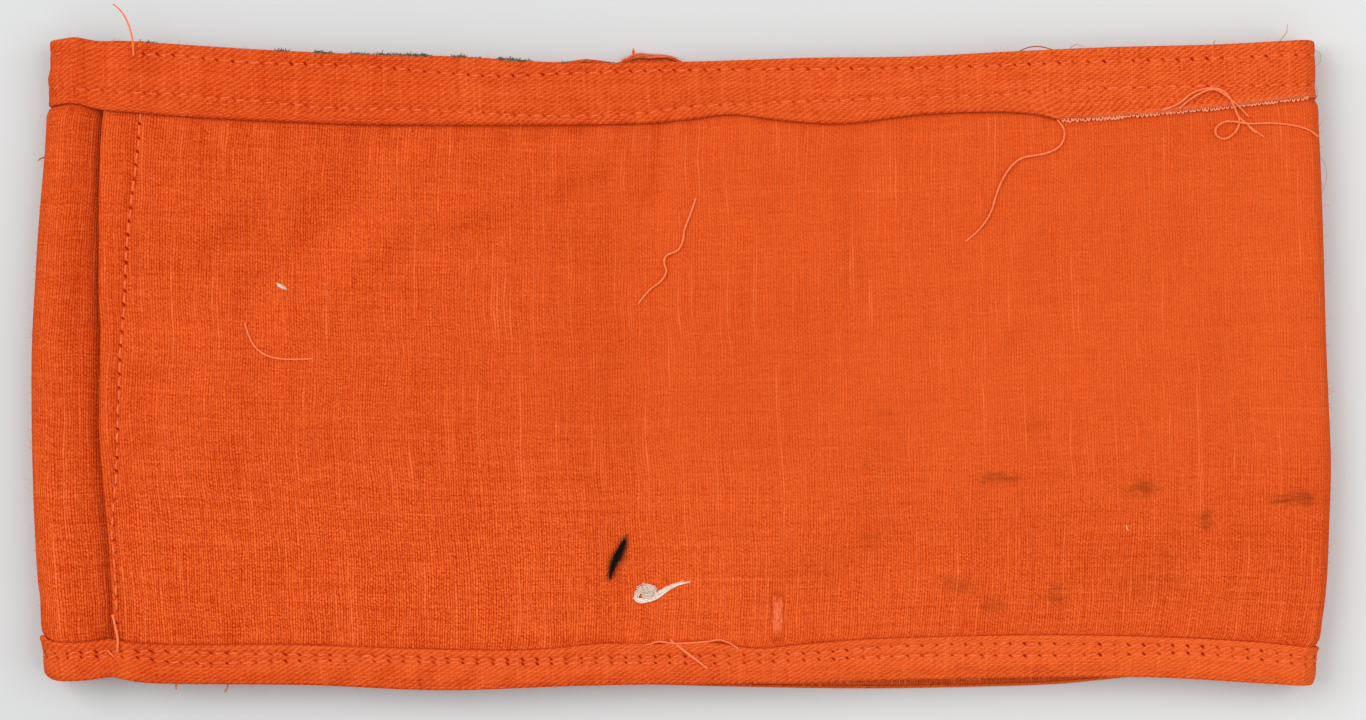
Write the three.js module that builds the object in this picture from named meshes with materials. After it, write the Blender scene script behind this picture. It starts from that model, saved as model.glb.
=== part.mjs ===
// Armband of orange cotton twill, lying flat on its far layer: one closed loop of cloth, turned
// over and stitched along both edges, and closed by a lapped join near its left fold.
// Millimetres. +X runs along the flattened loop, +Y across the band and +Z up. The origin is under
// the middle of the armband, on the surface that it lies on.
import * as THREE from 'three';
import { LoftGeometry } from 'three/addons/geometries/LoftGeometry.js';

const { clamp, lerp } = THREE.MathUtils;

// Cloth thicknesses and clearances
const bandWall = 1.0;
const hemWall = 1.0;
const turnedEdge = 1.0;
const edgeChamfer = 0.4;
const pieceGap = 0.3;

// Widths across the band
const clothWidth = 99.6;
const topHemWidth = 10.0;
const bottomHemWidth = 6.0;
const hemRamp = 5.0;
const hemClearance = 0.5;

// Heights of the wall's middle surface
const armHollow = 4.7;
const farOnTable = bandWall / 2;
const farOverHem = hemWall + pieceGap + bandWall / 2;
const nearLevel = farOverHem + bandWall + armHollow;

// How far each fold reaches in from its edge, and the groove beside the lapped join
const leftRoll = 4.4;
const rightRoll = 2.8;
const grooveDepth = 1.3;
const grooveHalfWidth = 4.6;
const grooveOffset = -1.2;

// The join's lap, measured from its folded edge
const lapWidth = 6.5;
const lapFlatWidth = 4.5;
const lapThinEdge = 0.3;

// Faceting
const nearSteps = 24;
const grooveSteps = 10;
const farSteps = 22;
const rollSteps = 8;
const middleRows = 8;
const lapSteps = 14;
const lapColumns = 3;

// The middle surface's side edges, from the bottom of the band to its top
const sideEdges = [
  { y: -50.0, left: -97.9, right: 97.9 },
  { y: -44.0, left: -98.7, right: 98.4 },
  { y: -38.0, left: -100.4, right: 100.4 },
  { y: -26.0, left: -101.2, right: 101.3 },
  { y: -15.0, left: -101.5, right: 101.6 },
  { y: 3.0, left: -101.5, right: 100.9 },
  { y: 22.0, left: -100.5, right: 100.4 },
  { y: 33.0, left: -99.6, right: 99.6 },
  { y: 39.5, left: -97.9, right: 98.0 },
  { y: 50.0, left: -97.3, right: 97.8 },
];

// Upper outline of the near and the far layer. The far one shows as a short bulge near the middle.
const topEdge = [
  { x: -99.5, near: 50.6, far: 50.4 },
  { x: -95.5, near: 51.3, far: 51.0 },
  { x: -91.5, near: 50.8, far: 50.6 },
  { x: -66.0, near: 49.4, far: 49.3 },
  { x: -35.0, near: 48.3, far: 48.2 },
  { x: -16.0, near: 47.3, far: 47.4 },
  { x: -9.0, near: 47.3, far: 48.2 },
  { x: -1.0, near: 47.5, far: 48.3 },
  { x: 6.0, near: 47.7, far: 47.5 },
  { x: 36.0, near: 48.3, far: 48.2 },
  { x: 68.0, near: 49.8, far: 49.6 },
  { x: 99.5, near: 51.1, far: 51.0 },
];

// Lower outline. The far layer shows below the near one right of the middle.
const bottomEdge = [
  { x: -99.5, near: -49.3, far: -49.2 },
  { x: -89.5, near: -49.1, far: -49.0 },
  { x: -80.0, near: -50.1, far: -49.9 },
  { x: -58.0, near: -50.3, far: -50.2 },
  { x: -38.0, near: -51.1, far: -50.9 },
  { x: -19.0, near: -50.5, far: -50.4 },
  { x: -5.0, near: -50.2, far: -50.3 },
  { x: 12.0, near: -50.1, far: -50.6 },
  { x: 28.0, near: -49.6, far: -50.8 },
  { x: 44.0, near: -49.3, far: -50.6 },
  { x: 62.0, near: -49.0, far: -49.7 },
  { x: 75.0, near: -49.1, far: -49.1 },
  { x: 99.5, near: -50.5, far: -50.4 },
];

// The folded edge of the lapped join, which leans a little
const joinEdge = [
  { y: -50.0, x: -88.8 },
  { y: -35.0, x: -89.9 },
  { y: -15.0, x: -91.3 },
  { y: 30.0, x: -91.5 },
  { y: 50.0, x: -90.5 },
];

// Soft folds and dents of the near layer, each along a line, up or down by its height
const softFolds = [
  { fromX: -4.0, fromY: 38.0, toX: -6.0, toY: -44.0, halfWidth: 10.0, height: -0.25 },
  { fromX: -84.0, fromY: 10.0, toX: -55.0, toY: 33.0, halfWidth: 9.0, height: -0.3 },
  { fromX: -68.0, fromY: 10.0, toX: -32.0, toY: 26.0, halfWidth: 9.0, height: 0.35 },
  { fromX: -44.0, fromY: 22.0, toX: -25.0, toY: 15.0, halfWidth: 9.0, height: -0.25 },
  { fromX: -67.0, fromY: -16.0, toX: -58.0, toY: -31.0, halfWidth: 10.0, height: -0.2 },
];

// Distances from the top and the bottom edge, as places across the band from -1 to 1
const fromTop = (distance) => 1 - (2 * distance) / clothWidth;
const fromBottom = (distance) => (2 * distance) / clothWidth - 1;

// The far layer lies on the table between the hems and over them along the edges
const farHeights = [
  { across: -1, z: farOverHem },
  { across: fromBottom(bottomHemWidth + hemClearance), z: farOverHem },
  { across: fromBottom(bottomHemWidth + hemClearance + hemRamp), z: farOnTable },
  { across: fromTop(topHemWidth + hemClearance + hemRamp), z: farOnTable },
  { across: fromTop(topHemWidth + hemClearance), z: farOverHem },
  { across: 1, z: farOverHem },
];

// The value of one column of a table at a place between its rows.
function valueAt(table, key, place, column) {
  const held = clamp(place, table[0][key], table.at(-1)[key]);
  const index = Math.max(1, table.findIndex((row) => row[key] >= held));
  const before = table[index - 1];
  const after = table[index];
  const share = (held - before[key]) / (after[key] - before[key]);
  return lerp(before[column], after[column], share);
}

// A smooth hump, 1 in the middle and 0 beyond half of its width.
function hump(distance, halfWidth) {
  const share = clamp(distance / halfWidth, -1, 1);
  return (1 + Math.cos(Math.PI * share)) / 2;
}

// Height that one soft fold adds at a place on the near layer.
function foldHeight(fold, x, y) {
  const start = new THREE.Vector3(fold.fromX, fold.fromY, 0);
  const end = new THREE.Vector3(fold.toX, fold.toY, 0);
  const place = new THREE.Vector3(x, y, 0);
  const nearest = new THREE.Line3(start, end).closestPointToPoint(place, true, new THREE.Vector3());
  return fold.height * hump(nearest.distanceTo(place), fold.halfWidth);
}

// Height of the near layer's middle surface.
function nearHeight(x, y) {
  const grooveX = valueAt(joinEdge, 'y', y, 'x') + grooveOffset;
  const groove = grooveDepth * hump(x - grooveX, grooveHalfWidth);
  const folds = softFolds.reduce((sum, fold) => sum + foldHeight(fold, x, y), 0);
  return nearLevel + folds - groove;
}

// Stations in order round the loop: over the near layer to the lapped join, across the groove
// beside it, down the left fold, back along the far layer and up the right fold.
function run(name, steps) {
  return Array.from({ length: steps }, (_, index) => ({ name, share: index / steps }));
}

const stations = [
  ...run('near', nearSteps),
  ...run('groove', grooveSteps),
  ...run('left', rollSteps),
  ...run('far', farSteps),
  ...run('right', rollSteps),
];

// A point of the middle surface: x and z, and how far it belongs to the near layer.
function middlePoint(station, across) {
  const y = (across * clothWidth) / 2;
  const left = valueAt(sideEdges, 'y', y, 'left') + leftRoll;
  const right = valueAt(sideEdges, 'y', y, 'right') - rightRoll;
  const lapEnd = valueAt(joinEdge, 'y', y, 'x') + lapWidth + pieceGap;
  const far = valueAt(farHeights, 'across', across, 'z');
  const angle = station.share * Math.PI;
  const turned = (1 - Math.cos(angle)) / 2;
  switch (station.name) {
    case 'near': {
      const x = lerp(right, lapEnd, station.share);
      return { x, z: nearHeight(x, y), near: 1 };
    }
    case 'groove': {
      const x = lerp(lapEnd, left, station.share);
      return { x, z: nearHeight(x, y), near: 1 };
    }
    case 'left': {
      const z = lerp(nearHeight(left, y), far, turned);
      return { x: left - leftRoll * Math.sin(angle), z, near: 1 - turned };
    }
    case 'far':
      return { x: lerp(left, right, station.share), z: far, near: 0 };
    default: {
      const z = lerp(far, nearHeight(right, y), turned);
      return { x: right + rightRoll * Math.sin(angle), z, near: turned };
    }
  }
}

// Where an outline lies at a point of the loop, between its far and its near layer.
function edgeAt(edge, point) {
  return lerp(valueAt(edge, 'x', point.x, 'far'), valueAt(edge, 'x', point.x, 'near'), point.near);
}

// A point at a station, at a place across the band, and at a distance outwards from the middle
// surface.
function placed(index, across, outwards) {
  const count = stations.length;
  const point = middlePoint(stations[index % count], across);
  const before = middlePoint(stations[(index + count - 1) % count], across);
  const after = middlePoint(stations[(index + 1) % count], across);
  const along = new THREE.Vector2(after.x - before.x, after.z - before.z).normalize();
  const top = edgeAt(topEdge, point);
  const bottom = edgeAt(bottomEdge, point);
  return new THREE.Vector3(
    point.x + along.y * outwards,
    lerp(bottom, top, (across + 1) / 2),
    point.z - along.x * outwards,
  );
}

// A closed ring swept round the whole loop, from a profile of places across and outwards.
function ringRoundLoop(profile) {
  const sections = stations.map((_, index) =>
    profile.map(({ across, outwards }) => placed(index, across, outwards)),
  );
  return new LoftGeometry([...sections, sections[0]]);
}

function bandGeometry() {
  const tucked = turnedEdge + pieceGap;
  const lowRow = fromBottom(bottomHemWidth + hemClearance + hemRamp);
  const highRow = fromTop(topHemWidth + hemClearance + hemRamp);
  const rows = [
    fromBottom(tucked),
    fromBottom(bottomHemWidth + hemClearance),
    ...Array.from({ length: middleRows + 1 }, (_, index) => lerp(lowRow, highRow, index / middleRows)),
    fromTop(topHemWidth + hemClearance),
    fromTop(tucked),
  ];
  const outside = rows.map((across) => ({ across, outwards: bandWall / 2 }));
  const inside = rows.map((across) => ({ across, outwards: -bandWall / 2 })).reverse();
  return ringRoundLoop([...outside, ...inside]);
}

// The hem lies on the outside of the band and turns round its edge.
function hemProfile(width) {
  const inner = -bandWall / 2;
  const base = bandWall / 2 + pieceGap;
  const outer = base + hemWall;
  return [
    { distance: width, outwards: base },
    { distance: width, outwards: outer },
    { distance: edgeChamfer, outwards: outer },
    { distance: 0, outwards: outer - edgeChamfer },
    { distance: 0, outwards: inner + edgeChamfer },
    { distance: edgeChamfer, outwards: inner },
    { distance: turnedEdge, outwards: inner },
    { distance: turnedEdge, outwards: base },
  ];
}

function topHemGeometry() {
  const profile = hemProfile(topHemWidth).map(({ distance, outwards }) => ({
    across: fromTop(distance),
    outwards,
  }));
  return ringRoundLoop(profile);
}

function bottomHemGeometry() {
  const profile = hemProfile(bottomHemWidth).map(({ distance, outwards }) => ({
    across: fromBottom(distance),
    outwards,
  }));
  return ringRoundLoop(profile.reverse());
}

// A point above the near layer, by its x and its height outwards from the middle surface.
function onNearLayer(x, across, outwards) {
  const y = (across * clothWidth) / 2;
  const top = valueAt(topEdge, 'x', x, 'near');
  const bottom = valueAt(bottomEdge, 'x', x, 'near');
  return new THREE.Vector3(x, lerp(bottom, top, (across + 1) / 2), nearHeight(x, y) + outwards);
}

// The lap runs between the hems, with its folded edge over the groove.
function joinLapGeometry() {
  const base = bandWall / 2 + pieceGap;
  const start = fromBottom(bottomHemWidth + pieceGap);
  const end = fromTop(topHemWidth + pieceGap);
  const columns = Array.from(
    { length: lapColumns + 1 },
    (_, index) => lerp(0, lapFlatWidth, index / lapColumns),
  );
  const profile = [
    ...columns.map((along) => ({ along, outwards: base + hemWall })),
    { along: lapWidth, outwards: base + lapThinEdge },
    { along: lapWidth, outwards: base },
    ...columns.reverse().map((along) => ({ along, outwards: base })),
  ];
  const sections = Array.from({ length: lapSteps + 1 }, (_, index) => {
    const across = lerp(start, end, index / lapSteps);
    const foldX = valueAt(joinEdge, 'y', (across * clothWidth) / 2, 'x');
    return profile.map(({ along, outwards }) => onNearLayer(foldX + along, across, outwards));
  });
  return new LoftGeometry(sections, { capStart: true, capEnd: true });
}

function clothPiece(name, geometry, color) {
  const material = new THREE.MeshStandardMaterial({ color, roughness: 0.9, metalness: 0 });
  const mesh = new THREE.Mesh(geometry, material);
  mesh.name = name;
  return mesh;
}

const armband = new THREE.Group();
armband.add(clothPiece('band', bandGeometry(), '#e15520'));
armband.add(clothPiece('top_hem', topHemGeometry(), '#e45824'));
armband.add(clothPiece('bottom_hem', bottomHemGeometry(), '#e45623'));
armband.add(clothPiece('join_lap', joinLapGeometry(), '#e35928'));

export default armband;
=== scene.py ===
"""Looks of an orange cotton armband lying flat: its twill, turned hems, stitches and loose threads.

Shapes are worked out in millimetres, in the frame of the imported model: +X along the flattened
loop, +Y across the band and +Z up. They become metres when a mesh is made. The near layer is the
one on top, and the far layer lies on the floor.
"""

import logging
import math
import random
from bisect import bisect_right
from dataclasses import dataclass, field
from enum import Enum
from typing import Callable, NamedTuple, Optional, Sequence

import bpy
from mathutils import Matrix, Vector, noise


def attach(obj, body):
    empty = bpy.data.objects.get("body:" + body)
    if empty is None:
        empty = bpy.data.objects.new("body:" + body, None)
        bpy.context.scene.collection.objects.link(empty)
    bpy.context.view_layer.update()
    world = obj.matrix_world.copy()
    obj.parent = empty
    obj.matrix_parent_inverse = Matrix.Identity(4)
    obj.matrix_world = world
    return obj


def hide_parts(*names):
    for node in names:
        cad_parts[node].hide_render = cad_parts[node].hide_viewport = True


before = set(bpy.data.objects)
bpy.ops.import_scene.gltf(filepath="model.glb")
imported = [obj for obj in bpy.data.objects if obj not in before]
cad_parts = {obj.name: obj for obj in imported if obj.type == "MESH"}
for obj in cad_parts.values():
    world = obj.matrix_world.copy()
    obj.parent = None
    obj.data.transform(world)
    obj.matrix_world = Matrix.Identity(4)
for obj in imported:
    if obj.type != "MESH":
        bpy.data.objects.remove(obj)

log = logging.getLogger("armband")

MM = 0.001
BODY = "root"
Colour = tuple[float, float, float]
Place = tuple[float, float]


class Course:
    """A smooth line through a few measured points, which gives one measure along another."""

    def __init__(self, *points: Place) -> None:
        """Keeps the points and the slope at each of them.

        Args:
            points: pairs of a place and the value there, in order of place.
        """
        self.places = [place for place, _ in points]
        self.values = [value for _, value in points]
        last = len(points) - 1
        self.slopes = [self._slope(max(index - 1, 0), min(index + 1, last)) for index in range(last + 1)]

    def _slope(self, before: int, after: int) -> float:
        """The slope between two of the points."""
        return (self.values[after] - self.values[before]) / (self.places[after] - self.places[before])

    def at(self, place: float) -> float:
        """The value at a place; past either end it stays as it is there.

        Args:
            place: where to read the line.

        Returns:
            The value, on a cubic between the two nearest points.
        """
        if place <= self.places[0]:
            return self.values[0]
        if place >= self.places[-1]:
            return self.values[-1]
        index = bisect_right(self.places, place) - 1
        span = self.places[index + 1] - self.places[index]
        share = (place - self.places[index]) / span
        rest = 1 - share
        ends = self.values[index] * rest * rest * (1 + 2 * share)
        ends += self.values[index + 1] * share * share * (3 - 2 * share)
        bends = self.slopes[index] * share * rest * rest - self.slopes[index + 1] * share * share * rest
        return ends + bends * span


def ease(value: float, low: float, high: float) -> float:
    """A smooth step from 0 at low to 1 at high."""
    share = min(max((value - low) / (high - low), 0.0), 1.0)
    return share * share * (3 - 2 * share)


def hump(distance: float, half_width: float) -> float:
    """A smooth hump: 1 in the middle, and 0 from half_width on."""
    share = min(abs(distance) / half_width, 1.0)
    return (1 + math.cos(math.pi * share)) / 2


def blend(first: float, second: float, share: float) -> float:
    """A value between two others."""
    return first + (second - first) * share


# Outlines of the armband seen from above, in pairs of x and y
NEAR_TOP = Course(
    (-99.4, 51.0), (-97.5, 51.1), (-95.4, 51.35), (-91.9, 50.8), (-86.7, 50.7), (-66.0, 49.4), (-50.5, 48.7),
    (-35.0, 48.3), (-20.0, 47.4), (-10.0, 47.3), (5.0, 47.6), (20.0, 48.1), (36.0, 48.3), (52.0, 49.1),
    (68.0, 49.8), (84.0, 50.2), (99.0, 51.0),
)
NEAR_BOTTOM = Course(
    (-100.1, -48.3), (-99.4, -49.3), (-97.7, -49.7), (-93.0, -49.5), (-89.5, -49.1), (-85.1, -49.8),
    (-79.5, -50.1), (-58.0, -50.3), (-42.6, -51.0), (-34.7, -51.1), (-19.0, -50.5), (-5.0, -50.2),
    (8.4, -50.1), (18.8, -50.0), (28.4, -49.6), (43.0, -49.3), (62.0, -49.0), (75.5, -49.1), (91.3, -50.0),
    (99.3, -50.5),
)
FAR_TOP = Course(
    (-99.4, 51.1), (-97.0, 51.0), (-92.0, 50.6), (-66.0, 49.4), (-35.0, 48.5), (-19.0, 48.0),
    (-15.0, 48.5), (-11.8, 48.1), (-9.6, 47.9), (-8.6, 48.9), (-5.0, 49.0), (-1.5, 48.9), (0.4, 47.9),
    (3.0, 47.5), (36.0, 48.3), (68.0, 49.9), (99.0, 51.0),
)
FAR_BOTTOM = Course(
    (-100.0, -48.3), (-97.7, -49.6), (-89.5, -49.2), (-79.5, -49.9), (-42.6, -50.9), (-19.0, -50.6),
    (-5.0, -50.8), (12.5, -51.2), (28.3, -51.4), (44.0, -51.2), (60.0, -50.7), (68.5, -49.9), (75.5, -49.3),
    (99.3, -50.5),
)

# The near layer's hem edges and rows of stitches, in pairs of x and y
TOP_HEM_EDGE = Course(
    (-99.6, 40.8), (-95.7, 41.3), (-91.6, 40.4), (-85.4, 39.8), (-71.0, 38.8), (-50.5, 38.0), (-21.2, 37.9),
    (-6.7, 38.1), (0.6, 38.7), (8.1, 39.5), (16.0, 38.5), (25.0, 38.1), (37.4, 39.5), (49.1, 39.9),
    (55.5, 39.5), (59.9, 38.6), (73.8, 39.5), (84.7, 40.5), (99.3, 42.2),
)
TOP_OUTER_ROW = Course(
    (-99.0, 49.1), (-86.1, 48.9), (-80.1, 48.7), (-69.2, 47.6), (-50.5, 47.0), (-35.7, 45.8), (-28.4, 45.4),
    (-16.3, 45.9), (-2.0, 46.3), (28.6, 46.6), (44.7, 46.9), (66.5, 47.7), (81.0, 48.1), (98.5, 48.8),
)
TOP_INNER_ROW = Course(
    (-99.5, 43.7), (-86.9, 42.8), (-78.2, 42.4), (-67.5, 41.5), (-56.6, 40.5), (-40.4, 40.0), (-28.4, 39.4),
    (-18.8, 39.1), (-6.7, 39.5), (0.9, 40.5), (15.5, 41.2), (37.4, 42.0), (51.9, 42.5), (66.5, 43.5),
    (88.4, 43.9), (99.3, 44.1),
)
BOTTOM_HEM_EDGE = Course(
    (-100.4, -43.9), (-93.6, -43.9), (-89.2, -43.4), (-87.0, -43.9), (-80.4, -44.3), (-61.2, -44.3),
    (-46.7, -44.8), (-34.6, -45.1), (-23.0, -45.1), (-11.6, -44.1), (-5.4, -44.3), (3.0, -43.8),
    (12.4, -44.9), (18.7, -44.3), (28.4, -43.5), (42.9, -43.0), (56.6, -42.8), (72.1, -43.0), (88.1, -43.7),
    (100.1, -44.9),
)
BOTTOM_INNER_ROW = Course(
    (-99.5, -45.5), (-87.0, -45.1), (-67.8, -45.5), (-45.6, -45.9), (-29.7, -46.4), (-10.5, -46.1),
    (20.6, -45.4), (29.7, -44.6), (40.2, -44.1), (54.7, -43.9), (72.1, -44.1), (80.4, -44.3), (91.0, -45.0),
    (98.4, -46.1),
)
BOTTOM_OUTER_ROW = Course(
    (-99.5, -46.2), (-86.5, -46.0), (-79.5, -46.9), (-72.7, -47.0), (-58.8, -46.6), (-45.6, -46.7),
    (-25.6, -47.1), (-11.1, -46.9), (8.1, -47.0), (18.8, -46.5), (28.7, -46.1), (40.7, -45.7), (55.0, -45.8),
    (74.4, -45.5), (79.6, -45.4), (91.3, -46.4), (98.4, -47.3),
)

# The lapped join, in pairs of y and x: its folded edge, and its column of stitches
JOIN_FOLD = Course(
    (-50.0, -88.8), (-39.3, -89.3), (-34.6, -89.6), (-28.4, -90.0), (-17.6, -91.0), (-10.3, -91.5),
    (3.5, -91.3), (10.0, -91.6), (22.0, -91.5), (34.0, -91.3), (40.4, -90.7), (50.0, -90.4),
)
JOIN_STITCHES = Course(
    (-50.0, -88.6), (-34.7, -88.9), (-25.7, -89.5), (-16.6, -88.9), (-7.8, -88.6), (3.9, -88.2),
    (10.3, -87.7), (18.8, -87.2), (25.6, -86.5), (32.1, -85.7), (39.7, -85.1), (50.0, -85.0),
)

# Side edges of the cloth's middle surface, in pairs of y and x; they draw in under the hems
LEFT_SIDE = Course(
    (-50.5, -99.5), (-48.4, -99.75), (-46.6, -99.95), (-45.5, -100.1), (-44.6, -100.75), (-43.2, -101.05),
    (-38.5, -101.3), (-36.0, -101.65), (-25.3, -102.25), (-15.8, -102.55), (-4.0, -102.65), (3.0, -102.55),
    (12.5, -102.05), (22.0, -101.45), (31.4, -100.65), (37.0, -100.3), (38.8, -100.15), (39.4, -99.8),
    (40.0, -98.95), (42.5, -98.95), (46.5, -99.15), (50.5, -99.2),
)
RIGHT_SIDE = Course(
    (-50.5, 99.25), (-45.4, 99.7), (-44.6, 99.85), (-43.9, 100.75), (-41.5, 101.3), (-34.7, 102.15),
    (-25.0, 102.6), (-15.8, 102.85), (-6.4, 102.5), (3.0, 102.1), (22.0, 101.55), (31.4, 101.2),
    (38.0, 100.85), (40.8, 100.6), (41.6, 99.9), (46.0, 99.85), (50.5, 99.7),
)


class SoftFold(NamedTuple):
    """A soft crease or dent along a bent line of the near layer; a height below 0 is a dent.

    Its two sides, to the left and to the right of the line, spread over widths of their own.
    """

    places: tuple[Place, ...]
    left_width: float
    right_width: float
    height: float


SOFT_FOLDS = (
    SoftFold(((-6.0, 24.0), (-5.2, 8.0), (-5.6, -20.0), (-6.5, -44.0)), 9.2, 13.8, -0.50),
    SoftFold(((-2.7, 37.5), (-2.5, 31.0), (-3.1, 25.0)), 2.5, 4.1, -0.32),
    SoftFold(((-1.2, 37.0), (-1.0, 26.0)), 3.0, 2.1, 0.17),
    SoftFold(((-88.0, 7.9), (-70.0, 7.6), (-62.0, 13.2)), 17.2, 8.0, -0.71),
    SoftFold(((-66.0, 12.6), (-55.5, 19.6), (-48.5, 24.8), (-40.0, 26.2)), 8.0, 6.9, -0.43),
    SoftFold(((-55.0, 22.5), (-50.5, 28.0), (-45.5, 36.5)), 9.2, 6.9, -0.40),
    SoftFold(((-63.0, 13.0), (-52.0, 18.4), (-43.3, 21.9), (-27.0, 27.0)), 4.6, 5.8, 0.22),
    SoftFold(((-43.0, 18.4), (-29.2, 19.6), (-22.0, 17.4), (-8.5, 13.6)), 6.3, 7.5, -0.45),
    SoftFold(((-73.0, 17.0), (-66.0, 22.0)), 5.2, 5.2, -0.34),
    SoftFold(((-17.5, 26.6), (-12.0, 28.4)), 3.7, 3.7, -0.32),
    SoftFold(((-26.0, 35.6), (-14.0, 36.4)), 3.4, 3.0, -0.27),
    SoftFold(((-67.0, -15.5), (-60.0, -18.5), (-61.5, -26.0), (-59.0, -33.0)), 8.0, 9.2, -0.34),
    SoftFold(((-72.5, -38.5), (-69.0, -42.0)), 3.9, 3.9, -0.27),
    SoftFold(((-55.0, -8.0), (-34.0, -16.0)), 10.3, 10.3, 0.22),
    SoftFold(((-40.0, -2.0), (-30.0, -4.4)), 3.2, 3.2, -0.18),
    SoftFold(((-88.0, -2.9), (-80.0, -3.2)), 2.8, 2.8, -0.26),
    SoftFold(((-88.5, -13.8), (-79.0, -13.4)), 2.8, 2.8, -0.21),
    SoftFold(((37.4, -14.0), (37.0, -27.0), (28.2, -35.0), (18.0, -37.0)), 9.2, 10.3, -0.34),
    SoftFold(((66.0, -32.0), (80.0, -31.0)), 6.3, 6.3, -0.32),
    SoftFold(((28.5, 30.0), (29.5, 13.0)), 5.2, 5.2, -0.22),
    SoftFold(((54.0, 3.0), (61.0, -2.0)), 4.6, 4.6, -0.22),
    SoftFold(((88.0, 6.0), (91.0, -16.0)), 6.9, 8.0, -0.32),
    SoftFold(((72.0, 32.0), (90.0, 14.0)), 10.3, 10.3, -0.30),
)


class Stretch(Enum):
    """The stretches of cloth round the loop, in the order in which they follow each other."""

    TUCK = "end turned under the lap"
    TURN = "folded edge of the lap"
    LAP = "top of the lap"
    NEAR = "near layer"
    RIGHT = "right fold"
    FAR = "far layer"
    LEFT = "left fold"
    GROOVE = "end that runs under the lap"


class Station(NamedTuple):
    """A place along one stretch, from 0 at its start to 1 at its end."""

    stretch: Stretch
    share: float


class Footing(NamedTuple):
    """A point of the cloth's middle surface in section, and how far it is of the near layer."""

    x: float
    z: float
    near: float


def stations(counts: dict[Stretch, int]) -> list[Station]:
    """Stations along some stretches in turn.

    Args:
        counts: for each stretch, how many steps it is divided into.

    Returns:
        The stations in order, with the last one at the end of the last stretch.
    """
    found = [Station(stretch, step / count) for stretch, count in counts.items() for step in range(count)]
    return found + [Station(list(counts)[-1], 1.0)]


NOMINAL_HALF_WIDTH = 50.0


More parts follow.
